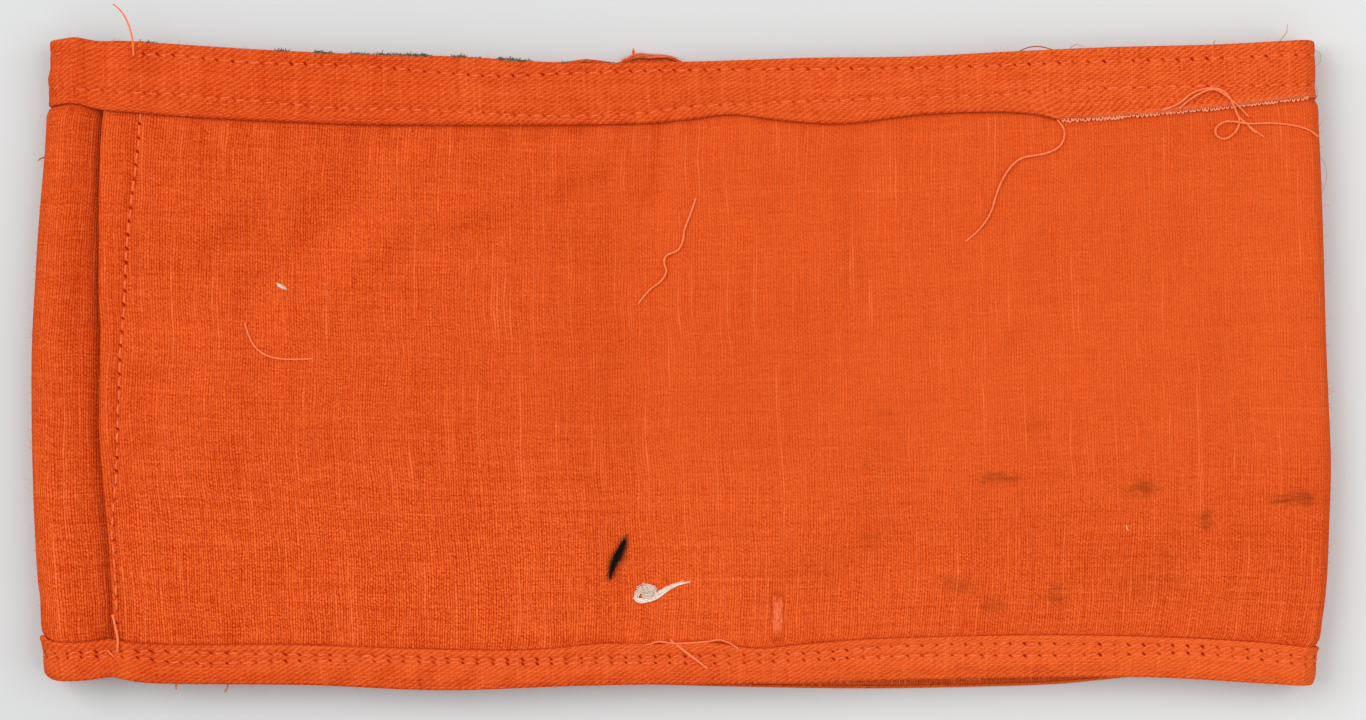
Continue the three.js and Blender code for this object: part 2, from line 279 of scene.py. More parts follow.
@dataclass(frozen=True)
class LyingLoop:
    """The form that the loop of cloth takes as it lies flat, double, on its far layer."""

    cloth: float = 0.42
    near_level: float = 7.75
    far_level: float = 0.24
    far_over_hem: float = 1.22
    left_reach: float = 3.4
    right_reach: float = 2.5
    lap_length: float = 9.0
    tuck_length: float = 4.4
    fold_reach: float = 0.34
    under_length: float = 8.0
    groove_depth: float = 2.5
    edge_inset: float = 0.35

    def soft_height(self, x: float, y: float) -> float:
        """The dents, creases and slight waves of the near layer at a place."""
        height = 0.20 * noise.noise(Vector((x * 0.045, y * 0.06, 3.1)))
        height += 0.10 * noise.noise(Vector((x * 0.16, y * 0.13, 7.7)))
        for fold in SOFT_FOLDS:
            height += self._fold_height(fold, x, y)
        return height + self._hem_puckers(x, y)

    @staticmethod
    def _fold_height(fold: SoftFold, x: float, y: float) -> float:
        """The height that one soft fold adds at a place.

        Args:
            fold: the fold.
            x: the place along the loop.
            y: the place across the band.

        Returns:
            The height, on a smooth hump whose width depends on the side of the fold's line.
        """
        nearest, width = math.inf, fold.left_width
        for start, end in zip(fold.places, fold.places[1:]):
            run_x, run_y = end[0] - start[0], end[1] - start[1]
            along = (x - start[0]) * run_x + (y - start[1]) * run_y
            share = min(max(along / (run_x * run_x + run_y * run_y), 0.0), 1.0)
            gap_x = x - start[0] - run_x * share
            gap_y = y - start[1] - run_y * share
            distance = math.hypot(gap_x, gap_y)
            if distance < nearest:
                to_left = (run_x * gap_y - run_y * gap_x) / (math.hypot(run_x, run_y) * max(distance, 1e-6))
                nearest, width = distance, blend(fold.right_width, fold.left_width, (1 + to_left) / 2)
        return fold.height * hump(nearest, width)

    @staticmethod
    def _hem_puckers(x: float, y: float) -> float:
        """Short puckers that run from the stitched hems a little way into the near layer."""
        above = hump(y - 37.0, 7.0) * ease(-x, -30.0, 10.0)
        below = hump(y + 43.0, 6.0) * ease(-x, -20.0, 5.0)
        swing = x + 0.35 * y + 1.6 * noise.noise(Vector((x * 0.05, y * 0.05, 1.3)))
        return 0.13 * above * math.sin(swing * 1.05) + 0.15 * below * math.sin(swing * 0.85 + 1.0)

    def lap_height(self, x: float, y: float) -> float:
        """How far the lap's doubled cloth lifts the near layer at a place.

        Args:
            x: the place along the loop.
            y: the place across the band.

        Returns:
            The lift: a ridge between the folded edge and the stitches, which pull it down.
        """
        past_fold = x - JOIN_FOLD.at(y)
        seam = max(JOIN_STITCHES.at(y) - JOIN_FOLD.at(y), 1.2)
        share = past_fold / seam
        ridge = 0.34 * ease(share, -0.05, 0.35) * (1 - ease(share, 0.55, 1.1))
        return ridge + 0.10 * (1 - ease(share, 1.0, 2.6)) - 0.10 * hump(share - 1.0, 0.28)

    def near_height(self, x: float, y: float) -> float:
        """The height of the near layer's middle surface."""
        return self.near_level + self.soft_height(x, y) + self.lap_height(x, y)

    def far_height(self, x: float, y: float) -> float:
        """The height of the far layer, which lies on the floor and rides up over its own hems.

        Args:
            x: the place along the loop.
            y: the place across the band.

        Returns:
            The height of its middle surface.
        """
        in_from_top = FAR_TOP.at(x) - y
        in_from_bottom = y - FAR_BOTTOM.at(x)
        over_top = (1 - ease(in_from_top, 10.2, 14.5)) * blend(0.62, 1.0, ease(in_from_top, 3.6, 5.6))
        over_bottom = 1 - ease(in_from_bottom, 6.3, 10.5)
        raised = max(over_top, over_bottom)
        wave = 0.12 * max(noise.noise(Vector((x * 0.05, y * 0.07, 9.2))), 0.0)
        return blend(self.far_level + wave, self.far_over_hem, raised)

    def left_end(self, y: float) -> float:
        """Where the near layer starts to roll down into the left fold."""
        return LEFT_SIDE.at(y) + self.left_reach

    def right_end(self, y: float) -> float:
        """Where the near layer starts to roll down into the right fold."""
        return RIGHT_SIDE.at(y) - self.right_reach

    def groove_drop(self, x: float, y: float) -> float:
        """How far the cloth has sunk on its way from the left fold to under the lap.

        Args:
            x: the place along the loop.
            y: the place across the band.

        Returns:
            The depth, greatest at the lap's folded edge.
        """
        start = self.left_end(y)
        fold_x = JOIN_FOLD.at(y)
        if x <= fold_x:
            return self.groove_depth * max((x - start) / (fold_x - start), 0.0) ** 1.7
        to_stitches = max(JOIN_STITCHES.at(y) - fold_x, 1.5)
        return blend(self.groove_depth, 2 * self.cloth + 0.08, ease(x - fold_x, 0.0, to_stitches))

    def near_y(self, x: float, across: float) -> float:
        """The place across the band of a point on the near layer."""
        return blend(NEAR_BOTTOM.at(x), NEAR_TOP.at(x), (across + 1) / 2)

    def far_y(self, x: float, across: float) -> float:
        """The place across the band of a point on the far layer."""
        return blend(FAR_BOTTOM.at(x), FAR_TOP.at(x), (across + 1) / 2)

    def footing(self, station: Station, across: float, bridged: bool = False) -> Footing:
        """A point of the cloth's middle surface in section.

        Args:
            station: the place round the loop.
            across: the place across the band, from -1 at the bottom edge to 1 at the top edge.
            bridged: whether the cloth spans the join, as the hems do, and doesn't follow it.

        Returns:
            Its x and z, and how far it is of the near layer.
        """
        stretch, share = station
        side_y = across * NOMINAL_HALF_WIDTH
        fold_x = JOIN_FOLD.at(side_y)
        if stretch is Stretch.TUCK:
            x = fold_x + blend(self.tuck_length, self.fold_reach, share)
            return Footing(x, self._tuck_height(x, side_y), 1.0)
        if stretch is Stretch.TURN:
            return self._turn_footing(share, side_y)
        if stretch is Stretch.LAP:
            x = fold_x + blend(self.fold_reach, self.lap_length, share)
            return Footing(x, self.near_height(x, self.near_y(x, across)), 1.0)
        if stretch is Stretch.NEAR:
            start = self.left_end(side_y) if bridged else fold_x + self.lap_length
            x = blend(start, self.right_end(side_y), share)
            y = self.near_y(x, across)
            return Footing(x, self.bridged_height(x, y) if bridged else self.near_height(x, y), 1.0)
        if stretch is Stretch.FAR:
            x = blend(self.right_end(side_y), self.left_end(side_y), share)
            return Footing(x, self.far_height(x, self.far_y(x, across)), 0.0)
        if stretch is Stretch.GROOVE:
            x = blend(self.left_end(side_y), fold_x + self.under_length, share)
            y = self.near_y(x, across)
            return Footing(x, self.near_level + self.soft_height(x, y) - self.groove_drop(x, y), 1.0)
        return self._roll_footing(station, across, bridged)

    def _tuck_height(self, x: float, y: float) -> float:
        """The height of the end that is turned under, which lies on the cloth below it."""
        below = self.near_level + self.soft_height(x, y) - self.groove_drop(x, y) + self.cloth + 0.04
        return min(max(below, self.near_height(x, y) - 1.2), self.near_height(x, y) - self.cloth - 0.03)

    def _turn_footing(self, share: float, y: float) -> Footing:
        """A point of the lap's folded edge, between the turned end and the lap's top."""
        x = JOIN_FOLD.at(y) + self.fold_reach
        low, high = self._tuck_height(x, y), self.near_height(x, y)
        angle = math.pi * share
        height = blend(low, high, (1 - math.cos(angle)) / 2)
        return Footing(x - self.fold_reach * math.sin(angle), height, 1.0)

    def _roll_footing(self, station: Station, across: float, bridged: bool) -> Footing:
        """A point of the left or the right fold.

        Args:
            station: the place round the loop, on one of the two folds.
            across: the place across the band, from -1 at the bottom edge to 1 at the top edge.
            bridged: whether the cloth spans the join, as the hems do.

        Returns:
            Its x and z on a half ellipse, and how far it is of the near layer.
        """
        on_left = station.stretch is Stretch.LEFT
        side_y = across * NOMINAL_HALF_WIDTH
        end = self.left_end(side_y) if on_left else self.right_end(side_y)
        reach = -self.left_reach if on_left else self.right_reach
        y = self.near_y(end, across)
        upper = self.bridged_height(end, y) if bridged else self.near_level + self.soft_height(end, y)
        lower = self.far_height(end, self.far_y(end, across))
        from_near = 1 - station.share if on_left else station.share
        angle = math.pi * from_near
        turned = (1 - math.cos(angle)) / 2
        return Footing(end + reach * math.sin(angle), blend(upper, lower, turned), 1 - turned)

    def bridged_height(self, x: float, y: float) -> float:
        """The height of the near layer's cloth under the hems, where it only half follows the join."""
        past_fold = x - JOIN_FOLD.at(y)
        join = 0.50 * ease(past_fold, -0.6, 1.2) * (1 - ease(past_fold, 3.0, 9.0))
        join -= 0.52 * hump(past_fold + 2.0, 3.8) + 0.30 * hump(past_fold + 0.5, 1.2)
        return self.near_level + 0.35 * self.soft_height(x, y) + join

    def y_at(self, footing: Footing, across: float, inset: float = 0.0) -> float:
        """The real y of a point of the cloth's middle surface.

        Args:
            footing: the point in section.
            across: its place across the band, from -1 at the bottom edge to 1 at the top edge.
            inset: how far the cloth stops short of both edges.

        Returns:
            The y, in millimetres.
        """
        top = blend(FAR_TOP.at(footing.x), NEAR_TOP.at(footing.x), footing.near) - inset
        bottom = blend(FAR_BOTTOM.at(footing.x), NEAR_BOTTOM.at(footing.x), footing.near) + inset
        return blend(bottom, top, (across + 1) / 2)


LOOP = LyingLoop()


class Numbering(NamedTuple):
    """A vertex's column and row in the grid that it came from."""

    column: int
    row: int


class ClothGrid:
    """A sheet of cloth made from a flat grid, whose vertices are then moved into place."""

    def __init__(self, name: str, columns: int, rows: int) -> None:
        """Adds the flat grid.

        Args:
            name: the piece's name.
            columns: how many vertices it has along the loop.
            rows: how many vertices it has across.
        """
        deselect()
        bpy.ops.mesh.primitive_grid_add(x_subdivisions=columns - 1, y_subdivisions=rows - 1, size=1.0)
        self.obj = bpy.context.object
        self.obj.name = name
        self.mesh = self.obj.data
        self.numbers = [
            Numbering(round((v.co.x + 0.5) * (columns - 1)), round((v.co.y + 0.5) * (rows - 1)))
            for v in self.mesh.vertices
        ]

    def shape(self, points: Sequence[Sequence[Vector]]) -> None:
        """Moves every vertex to its point, given in millimetres by column and row."""
        for vertex, number in zip(self.mesh.vertices, self.numbers):
            vertex.co = points[number.column][number.row] * MM

    def add_map(self, name: str, values: Callable[[int, int], Place], first: bool = False) -> None:
        """Adds a UV map.

        Args:
            name: the map's name.
            values: gives the two coordinates of a column and row.
            first: whether to fill the map that the grid came with.
        """
        layer = self.mesh.uv_layers[0] if first else self.mesh.uv_layers.new(name=name)
        layer.name = name
        by_vertex = [values(number.column, number.row) for number in self.numbers]
        flat = [part for loop in self.mesh.loops for part in by_vertex[loop.vertex_index]]
        layer.data.foreach_set("uv", flat)

    def add_measure(self, name: str, values: Callable[[int, int], float]) -> None:
        """Adds a number to every vertex, for the finish to read."""
        layer = self.mesh.attributes.new(name=name, type="FLOAT", domain="POINT")
        layer.data.foreach_set("value", [values(number.column, number.row) for number in self.numbers])

    def add_lean_shade(self, points: Sequence[Sequence[Vector]]) -> None:
        """Adds how far the cloth leans to the upper left or away from it, for painted light and shade: pale
        where it leans towards the upper left, dark where it leans away.

        Args:
            points: the cloth's points in millimetres, by column and row.
        """
        last_column, last_row = len(points) - 1, len(points[0]) - 1

        def lean(column: int, row: int) -> float:
            """The lean at one vertex, weaker to the left of the join and none on the right fold."""
            along = points[min(column + 1, last_column)][row] - points[max(column - 1, 0)][row]
            across = points[column][min(row + 1, last_row)] - points[column][max(row - 1, 0)]
            normal = along.cross(across).normalized()
            tilt = (0.45 * normal.y - 0.89 * normal.x) * normal.z
            x = points[column][row].x
            clean = (1 - ease(x, 95.0, 98.5)) * blend(0.32, 1.0, ease(x, -89.0, -86.0))
            return (tilt if tilt < 0 else tilt * 0.3) * clean

        self.add_measure("lean", lean)

    def finish(self, thickness: float, closed: bool) -> bpy.types.Object:
        """Joins a ring's ends, gives the cloth its thickness and smooths it.

        Args:
            thickness: the cloth's thickness in millimetres.
            closed: whether the first and the last column lie on each other.

        Returns:
            The finished piece.
        """
        if closed:
            bpy.ops.object.mode_set(mode="EDIT")
            bpy.ops.mesh.select_all(action="SELECT")
            bpy.ops.mesh.remove_doubles(threshold=1e-6)
            bpy.ops.object.mode_set(mode="OBJECT")
        wall = self.obj.modifiers.new("cloth thickness", "SOLIDIFY")
        wall.thickness = thickness * MM
        wall.offset = 0.0
        bpy.ops.object.modifier_apply(modifier=wall.name)
        bpy.ops.object.shade_smooth()
        return self.obj


def deselect() -> None:
    """Leaves nothing selected."""
    bpy.ops.object.select_all(action="DESELECT")


def lengths_along(points: Sequence[Vector]) -> list[float]:
    """The distance from the first point to each point, along the line through them."""
    found = [0.0]
    for before, after in zip(points, points[1:]):
        found.append(found[-1] + (after - before).length)
    return found


def keep(piece: bpy.types.Object, nodes: Sequence[str] = ()) -> None:
    """Attaches a finished piece to the body, and hides the CAD nodes that it stands for.

    Args:
        piece: the finished piece.
        nodes: the CAD nodes that the piece replaces.
    """
    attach(piece, BODY)
    if nodes:
        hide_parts(*nodes)
    log.info("%s: %d faces", piece.name, len(piece.data.polygons))


class Number:
    """A number in a material, so that a formula on numbers adds its Math nodes."""

    def __init__(self, nodes: "NodeSheet", socket: bpy.types.NodeSocket) -> None:
        """Keeps the socket that carries the number."""
        self.nodes = nodes
        self.socket = socket

    def _with(self, operation: str, other: "Number | float", swapped: bool = False) -> "Number":
        """The result of one Math node on this number and another."""
        pair = (other, self) if swapped else (self, other)
        return self.nodes.math(operation, *pair)

    def __add__(self, other: "Number | float") -> "Number":
        """Adds."""
        return self._with("ADD", other)

    def __sub__(self, other: "Number | float") -> "Number":
        """Takes away."""
        return self._with("SUBTRACT", other)

    def __mul__(self, other: "Number | float") -> "Number":
        """Multiplies."""
        return self._with("MULTIPLY", other)

    def __truediv__(self, other: "Number | float") -> "Number":
        """Divides."""
        return self._with("DIVIDE", other)

    def __radd__(self, other: float) -> "Number":
        """Adds to a plain number."""
        return self._with("ADD", other, swapped=True)

    def __rsub__(self, other: float) -> "Number":
        """Takes this away from a plain number."""
        return self._with("SUBTRACT", other, swapped=True)

    def __rmul__(self, other: float) -> "Number":
        """Multiplies a plain number."""
        return self._with("MULTIPLY", other, swapped=True)

    def floor(self) -> "Number":
        """The whole part."""
        return self.nodes.math("FLOOR", self)

    def fraction(self) -> "Number":
        """The part after the point."""
        return self.nodes.math("FRACT", self)

    def sine(self) -> "Number":
        """The sine."""
        return self.nodes.math("SINE", self)

    def size(self) -> "Number":
        """The size without its sign."""
        return self.nodes.math("ABSOLUTE", self)

    def below(self, limit: float) -> "Number":
        """1 where the number is below a limit, and 0 elsewhere."""
        return self.nodes.math("LESS_THAN", self, limit)

    def step(self, low: float, high: float) -> "Number":
        """A smooth step from 0 at low to 1 at high."""
        node = self.nodes.add(
            "ShaderNodeMapRange",
            {"interpolation_type": "SMOOTHSTEP"},
            {"Value": self, "From Min": low, "From Max": high},
        )
        return Number(self.nodes, node.outputs["Result"])


class NodeSheet:
    """The nodes of one material."""

    def __init__(self, name: str) -> None:
        """Starts an empty material."""
        self.material = bpy.data.materials.new(name)
        self.material.use_nodes = True
        self.tree = self.material.node_tree
        self.tree.nodes.clear()

    def add(self, kind: str, settings: dict, inputs: dict) -> bpy.types.Node:
        """Adds a node.

        Args:
            kind: the node's type.
            settings: its own properties, set before its sockets are used.
            inputs: the value or the link of each socket, by the socket's name or place.

        Returns:
            The node.
        """
        node = self.tree.nodes.new(kind)
        for name, value in settings.items():
            setattr(node, name, value)
        for name, value in inputs.items():
            if isinstance(value, Number):
                value = value.socket
            if isinstance(value, bpy.types.NodeSocket):
                self.tree.links.new(value, node.inputs[name])
            else:
                node.inputs[name].default_value = value
        return node

    def math(self, operation: str, *values: "Number | float") -> Number:
        """The result of one Math node."""
        node = self.add("ShaderNodeMath", {"operation": operation}, dict(enumerate(values)))
        return Number(self, node.outputs[0])

    def parts(self, vector: bpy.types.NodeSocket) -> tuple[Number, Number, Number]:
        """The three numbers of a vector."""
        node = self.add("ShaderNodeSeparateXYZ", {}, {"Vector": vector})
        return Number(self, node.outputs[0]), Number(self, node.outputs[1]), Number(self, node.outputs[2])

    def vector(
        self, x: "Number | float", y: "Number | float", z: "Number | float" = 0.0
    ) -> bpy.types.NodeSocket:
        """A vector from three numbers."""
        return self.add("ShaderNodeCombineXYZ", {}, {"X": x, "Y": y, "Z": z}).outputs[0]

    def map_in_mm(self, name: str) -> tuple[Number, Number]:
        """The two coordinates of one of the piece's UV maps, in millimetres."""
        u, v, _ = self.parts(self.add("ShaderNodeUVMap", {"uv_map": name}, {}).outputs["UV"])
        return u / MM, v / MM

    def place_in_mm(self) -> tuple[Number, Number, Number]:
        """The place on the piece, in millimetres."""
        x, y, z = self.parts(self.add("ShaderNodeTexCoord", {}, {}).outputs["Object"])
        return x / MM, y / MM, z / MM

    def measure(self, name: str) -> Number:
        """A number that the piece's vertices carry."""
        node = self.add("ShaderNodeAttribute", {"attribute_name": name}, {})
        return Number(self, node.outputs["Fac"])

    def noise(self, vector: bpy.types.NodeSocket, scale: float = 1.0, detail: float = 2.0) -> Number:
        """A smooth random number that changes over a vector, about one half on average."""
        node = self.add("ShaderNodeTexNoise", {}, {"Vector": vector, "Scale": scale, "Detail": detail})
        return Number(self, node.outputs["Fac"])

    def speckle(self, value: Number) -> Number:
        """A random number for each whole number."""
        node = self.add("ShaderNodeTexWhiteNoise", {"noise_dimensions": "1D"}, {"W": value})
        return Number(self, node.outputs["Value"])

    def mix(
        self, share: Number, first: "Colour | bpy.types.NodeSocket", second: "Colour | bpy.types.NodeSocket"
    ) -> bpy.types.NodeSocket:
        """A colour between two others.

        Args:
            share: how much of the second there is.
            first: the colour at 0.
            second: the colour at 1.

        Returns:
            The socket that carries the colour.
        """
        first, second = (c if isinstance(c, bpy.types.NodeSocket) else (*c, 1.0) for c in (first, second))
        node = self.add("ShaderNodeMix", {"data_type": "RGBA"}, {0: share, 6: first, 7: second})
        return node.outputs[2]

    def bump(self, height: Number, distance: float, strength: float = 1.0) -> bpy.types.NodeSocket:
        """The normal of a surface with a height pattern; the distance is in millimetres."""
        inputs = {"Height": height, "Distance": distance * MM, "Strength": strength}
        return self.add("ShaderNodeBump", {}, inputs).outputs["Normal"]

    def surface(self, inputs: dict) -> bpy.types.Material:
        """Ends the material with a surface that has the given sockets."""
        shader = self.add("ShaderNodeBsdfPrincipled", {}, inputs)
        self.add("ShaderNodeOutputMaterial", {}, {"Surface": shader.outputs[0]})
        return self.material


class TwillSide(Enum):
    """Which side of a two-and-one twill is seen."""

    RIGHT = "warp on top, in diagonals that rise to the right"
    WRONG = "weft on top, in upright ribs"


class Stain(NamedTuple):
    """A faint dark mark on the near layer: its middle, its half sizes and how dark it is."""

    x: float
    y: float
    half_long: float
    half_high: float
    strength: float


STAINS = (
    Stain(50.2, -17.9, 4.8, 1.3, 0.80),
    Stain(72.4, -19.5, 3.9, 2.0, 0.85),
    Stain(97.2, -21.2, 5.6, 1.5, 1.05),
    Stain(82.7, -24.4, 1.5, 2.2, 0.95),
    Stain(44.0, -34.6, 3.8, 2.0, 0.55),
    Stain(59.3, -36.2, 2.2, 2.2, 0.90),
    Stain(49.3, -38.0, 2.6, 1.6, 0.60),
    Stain(76.6, -30.6, 1.8, 1.5, 0.60),
    Stain(73.5, -34.2, 8.0, 3.6, 0.40),
    Stain(30.0, -27.5, 2.4, 2.4, 0.32),
    Stain(55.9, -9.6, 3.4, 1.8, 0.26),
    Stain(31.6, -7.5, 2.4, 0.9, 0.30),
    Stain(29.9, -15.9, 1.6, 1.2, 0.36),
    Stain(39.4, 6.3, 1.8, 1.3, 0.26),
    Stain(56.6, -48.1, 3.6, 0.9, 0.45),
    Stain(22.0, -32.5, 4.0, 2.4, 0.24),
)


@dataclass(frozen=True)
class Twill:
    """Orange cotton twill, thread by thread; the lengths are in millimetres."""

    name: str
    side: TwillSide
    # The two ends of the tone range: darker between the threads and paler on their crowns, painted shade and
    # light over the yarns' own tone.
    shaded_hollow: Colour
    lit_crown: Colour
    stitch_rows: tuple[str, ...] = ()
    raw_edge: bool = False
    weft_pitch: float = 0.405
    warp_pitch: float = 0.23
    thread_height: float = 0.05
    mean_height: float = 0.55
    thread_shade: float = 0.62
    fleck: float = 1.28
    tone: float = 0.41
    lean_shade_tone: float = 0.80
    weft_slubs: float = 0.34
    warp_slubs: float = 0.20
    slub: Colour = (0.92, 0.22, 0.075)
    stain: Colour = (0.27, 0.036, 0.005)
    hole_shade: Colour = (0.27, 0.008, 0.0)
    hole_size: float = 0.28
    hole_strength: float = 0.50
    raw: Colour = (0.88, 0.25, 0.12)
    worn: Colour = (0.86, 0.20, 0.10)
    # A dark colour for the worn patch's dirty rim and for the painted shade along the hems' edges.
    dirt_and_shade: Colour = (0.34, 0.022, 0.002)

    def material(self) -> bpy.types.Material:
        """Builds the material."""
        sheet = NodeSheet(self.name)
        u, v = sheet.map_in_mm("weave")
        x, y, z = sheet.place_in_mm()
        drift = sheet.noise(sheet.vector(u * 0.07, v * 0.07), detail=3.0) - 0.5
        sway = sheet.noise(sheet.vector(v * 0.09, u * 0.05, 4.0), detail=3.0) - 0.5
        crowding = sheet.noise(sheet.vector(u * 0.85, v * 0.12, 3.0), detail=1.0) - 0.5
        weft = (u + drift * 1.1 + crowding * 0.55) / self.weft_pitch
        warp = (v + sway * 0.9) / self.warp_pitch
        height = self._thread_height(weft, warp, 0.25 + drift * 1.6)
        weft_tone = sheet.noise(sheet.vector(weft.floor() * 3.17, v * 0.038, 1.0), detail=2.0)
        warp_tone = sheet.noise(sheet.vector(warp.floor() * 2.71, u * 0.035, 5.0), detail=2.0)
        cloud = sheet.noise(sheet.vector(x * 0.035, y * 0.035, z * 0.05), detail=4.0) - 0.5
        fleck = sheet.noise(sheet.vector(u * 2.3, v * 2.9, 2.0), detail=2.0) - 0.5
        weft_grain = sheet.noise(sheet.vector(weft.floor() * 5.3, v * 0.40, 9.0), detail=1.0) - 0.5
        warp_grain = sheet.noise(sheet.vector(warp.floor() * 4.1, u * 0.30, 7.0), detail=1.0) - 0.5
        # Painted shade and light at the scale of the threads: the tone falls between them and rises on their
        # crowns, over the yarns' own tone.
        weave = (height - self.mean_height) * self.thread_shade + weft_grain * 0.37 + warp_grain * 0.43
        weave = weave + (weft_tone - 0.5) * 0.39 + (warp_tone - 0.5) * 0.48 + fleck * self.fleck
        # The step along x is painted light: it makes the cloth paler towards the right.
        tone = self.tone + weave * self._clearness(x, y) + cloud * 0.14 + x.step(-75.0, 60.0) * 0.12
        # Painted light and shade: the cloth is made paler where it leans towards the upper left and darker
        # where it leans away from it.
        tone = tone + sheet.measure("lean") * z.step(3.5, 5.0) * self.lean_shade_tone
        # The body is darker low on the right, and the bottom hem and the hems' right ends are paler
        if self.side is TwillSide.WRONG:
            tone = tone - x.step(10.0, 50.0) * (1 - y.step(-30.0, -4.0)) * 0.085
        else:
            tone = tone + (1 - y.step(-20.0, 20.0)) * 0.11 + x.step(0.0, 80.0) * 0.05
        colour = sheet.mix(tone, self.shaded_hollow, self.lit_crown)
        slubs = weft_tone.step(0.60, 0.72) * (0.55 + weft_grain) * self.weft_slubs
        slubs = slubs + warp_tone.step(0.66, 0.78) * (0.55 + warp_grain) * self.warp_slubs
        colour = sheet.mix(slubs * height.step(0.35, 0.85), colour, self.slub)
        colour = sheet.mix(self._stains(sheet, x, y, z), colour, self.stain)
        if self.side is TwillSide.WRONG:
            pale, rim = self._worn_patch(sheet, x, y, z)
            colour = sheet.mix(pale, colour, self.worn)
            colour = sheet.mix(rim, colour, self.dirt_and_shade)
            # Painted shade along the hems' edges, in the same dark colour as the worn patch's rim.
            colour = sheet.mix(self._hem_edge_shade(sheet, x), colour, self.dirt_and_shade)
        if self.raw_edge:
            colour = sheet.mix(sheet.measure("raw_edge") * 0.38, colour, self.raw)
        holes = self._holes(sheet, y)
        # The needle holes' dark colour is painted shade.
        colour = sheet.mix(holes, colour, self.hole_shade)
        relief = height + fleck * 0.5 - holes * 1.4
        return sheet.surface({
            "Base Color": colour,
            "Roughness": 0.95,
            "Specular IOR Level": 0.02,
            "Sheen Weight": 0.06,
            "Sheen Roughness": 0.3,
            "Sheen Tint": (1.0, 0.55, 0.32, 1.0),
            "Normal": sheet.bump(relief, self.thread_height),
        })

    def _clearness(self, x: Number, y: Number) -> Number:
        """How clearly the weave shows: on the body less up to the right, and on the hems more there."""
        if self.side is TwillSide.WRONG:
            low_left = (1 - x.step(-35.0, 15.0)) * (1 - y.step(-32.0, -5.0))
            return 0.95 - x.step(-70.0, 15.0) * y.step(-38.0, -4.0) * 0.43 + low_left * 0.40
        return 1.0 + (x.step(20.0, 90.0) * 0.32 - 0.08) * y.step(-20.0, 20.0)

    def _thread_height(self, weft: Number, warp: Number, slant: Number) -> Number:
        """The height of the threads, from 0 between them to 1 on their crowns.

        Args:
            weft: how many weft threads come before the place.
            warp: how many warp threads come before it.
            slant: how far the floats of the wrong side slant across a rib.

        Returns:
            The height.
        """
        weft_share, warp_share = weft.fraction(), warp.fraction()
        weft_round = weft_share * (1 - weft_share) * 4
        warp_round = warp_share * (1 - warp_share) * 4
        if self.side is TwillSide.WRONG:
            floating = ((warp + weft.floor()) / 3 - (weft_share - 0.5) * slant).fraction()
            rib = weft_round.step(0.05, 0.95)
            return rib * 0.64 + (floating * math.pi).sine() * (0.10 + rib * 0.26)
        floating = ((weft - warp.floor()) / 3).fraction()
        crossing = floating.below(1 / 3)
        arch = ((floating - 1 / 3) * (1.5 * math.pi)).sine()
        thread = crossing * weft_round * 0.42 + (1 - crossing) * warp_round * (0.55 + arch * 0.45)
        rib = (((weft - warp + 0.5) / 3 - 0.1667).fraction() * math.pi).sine()
        return thread * 0.85 + rib * 0.15

    def _stains(self, sheet: NodeSheet, x: Number, y: Number, z: Number) -> Number:
        """How dark the near layer's stains are."""
        ragged = sheet.noise(sheet.vector(x * 0.5, y * 0.9), detail=4.0)
        blotch = sheet.noise(sheet.vector(x * 0.22, y * 0.4, 8.0), detail=3.0)
        total: Number | float = 0.0
        for mark in STAINS:
            across = (x - mark.x) / mark.half_long
            up = (y - mark.y) / mark.half_high
            far = sheet.math("SQRT", across * across + up * up) + (ragged - 0.5) * 1.6
            total = total + (1 - far.step(0.25, 1.15)) * mark.strength
        streak = sheet.noise(sheet.vector(x * 0.35, y * 2.2, 3.0), detail=3.0)
        streaky = 0.35 + streak.step(0.35, 0.65) * 0.65
        return total * z.step(4.0, 6.0) * blotch.step(0.25, 0.58) * streaky * 0.85

    def _worn_patch(self, sheet: NodeSheet, x: Number, y: Number, z: Number) -> "tuple[Number, Number]":
        """The short upright patch of the near layer that is rubbed pale, and its dark rim.

        Args:
            sheet: the material's nodes.
            x: the place along the loop.
            y: the place across the band.
            z: the height.

        Returns:
            How pale the patch is, and how dark its rim.
        """
        ragged = sheet.noise(sheet.vector(x * 1.1, y * 0.8, 6.0), detail=3.0) - 0.5
        fine = sheet.noise(sheet.vector(x * 2.4, y * 1.6, 7.0), detail=2.0)
        across = ((x - 15.3) / 0.90).size()
        up = ((y + 39.7) / 3.3).size()
        far = sheet.math("MAXIMUM", across, up) + ragged * 0.7
        near_layer = z.step(4.0, 6.0)
        pale = (1 - far.step(0.60, 0.95)) * (0.12 + fine.step(0.36, 0.60) * 0.42)
        rim = far.step(0.72, 1.0) * (1 - far.step(1.05, 1.45)) * 0.38
        return pale * near_layer, rim * near_layer

    def _hem_edge_shade(self, sheet: NodeSheet, x: Number) -> Number:
        """Painted shade: the thin dark line along the hems' turned edges, where they shade the cloth beside
        them.
        """
        from_top, from_bottom = sheet.map_in_mm("hem edges")
        patchy = 0.65 + sheet.noise(sheet.vector(x * 0.25, 0.0), detail=2.0) * 0.6
        near_top_hem = 1 - from_top.size().step(0.10, 0.60) * 0.7 - from_top.size().step(0.30, 1.50) * 0.3
        near_bottom_hem = 1 - from_bottom.size().step(0.10, 0.55)
        return (near_top_hem * 0.60 + near_bottom_hem * 0.62) * patchy

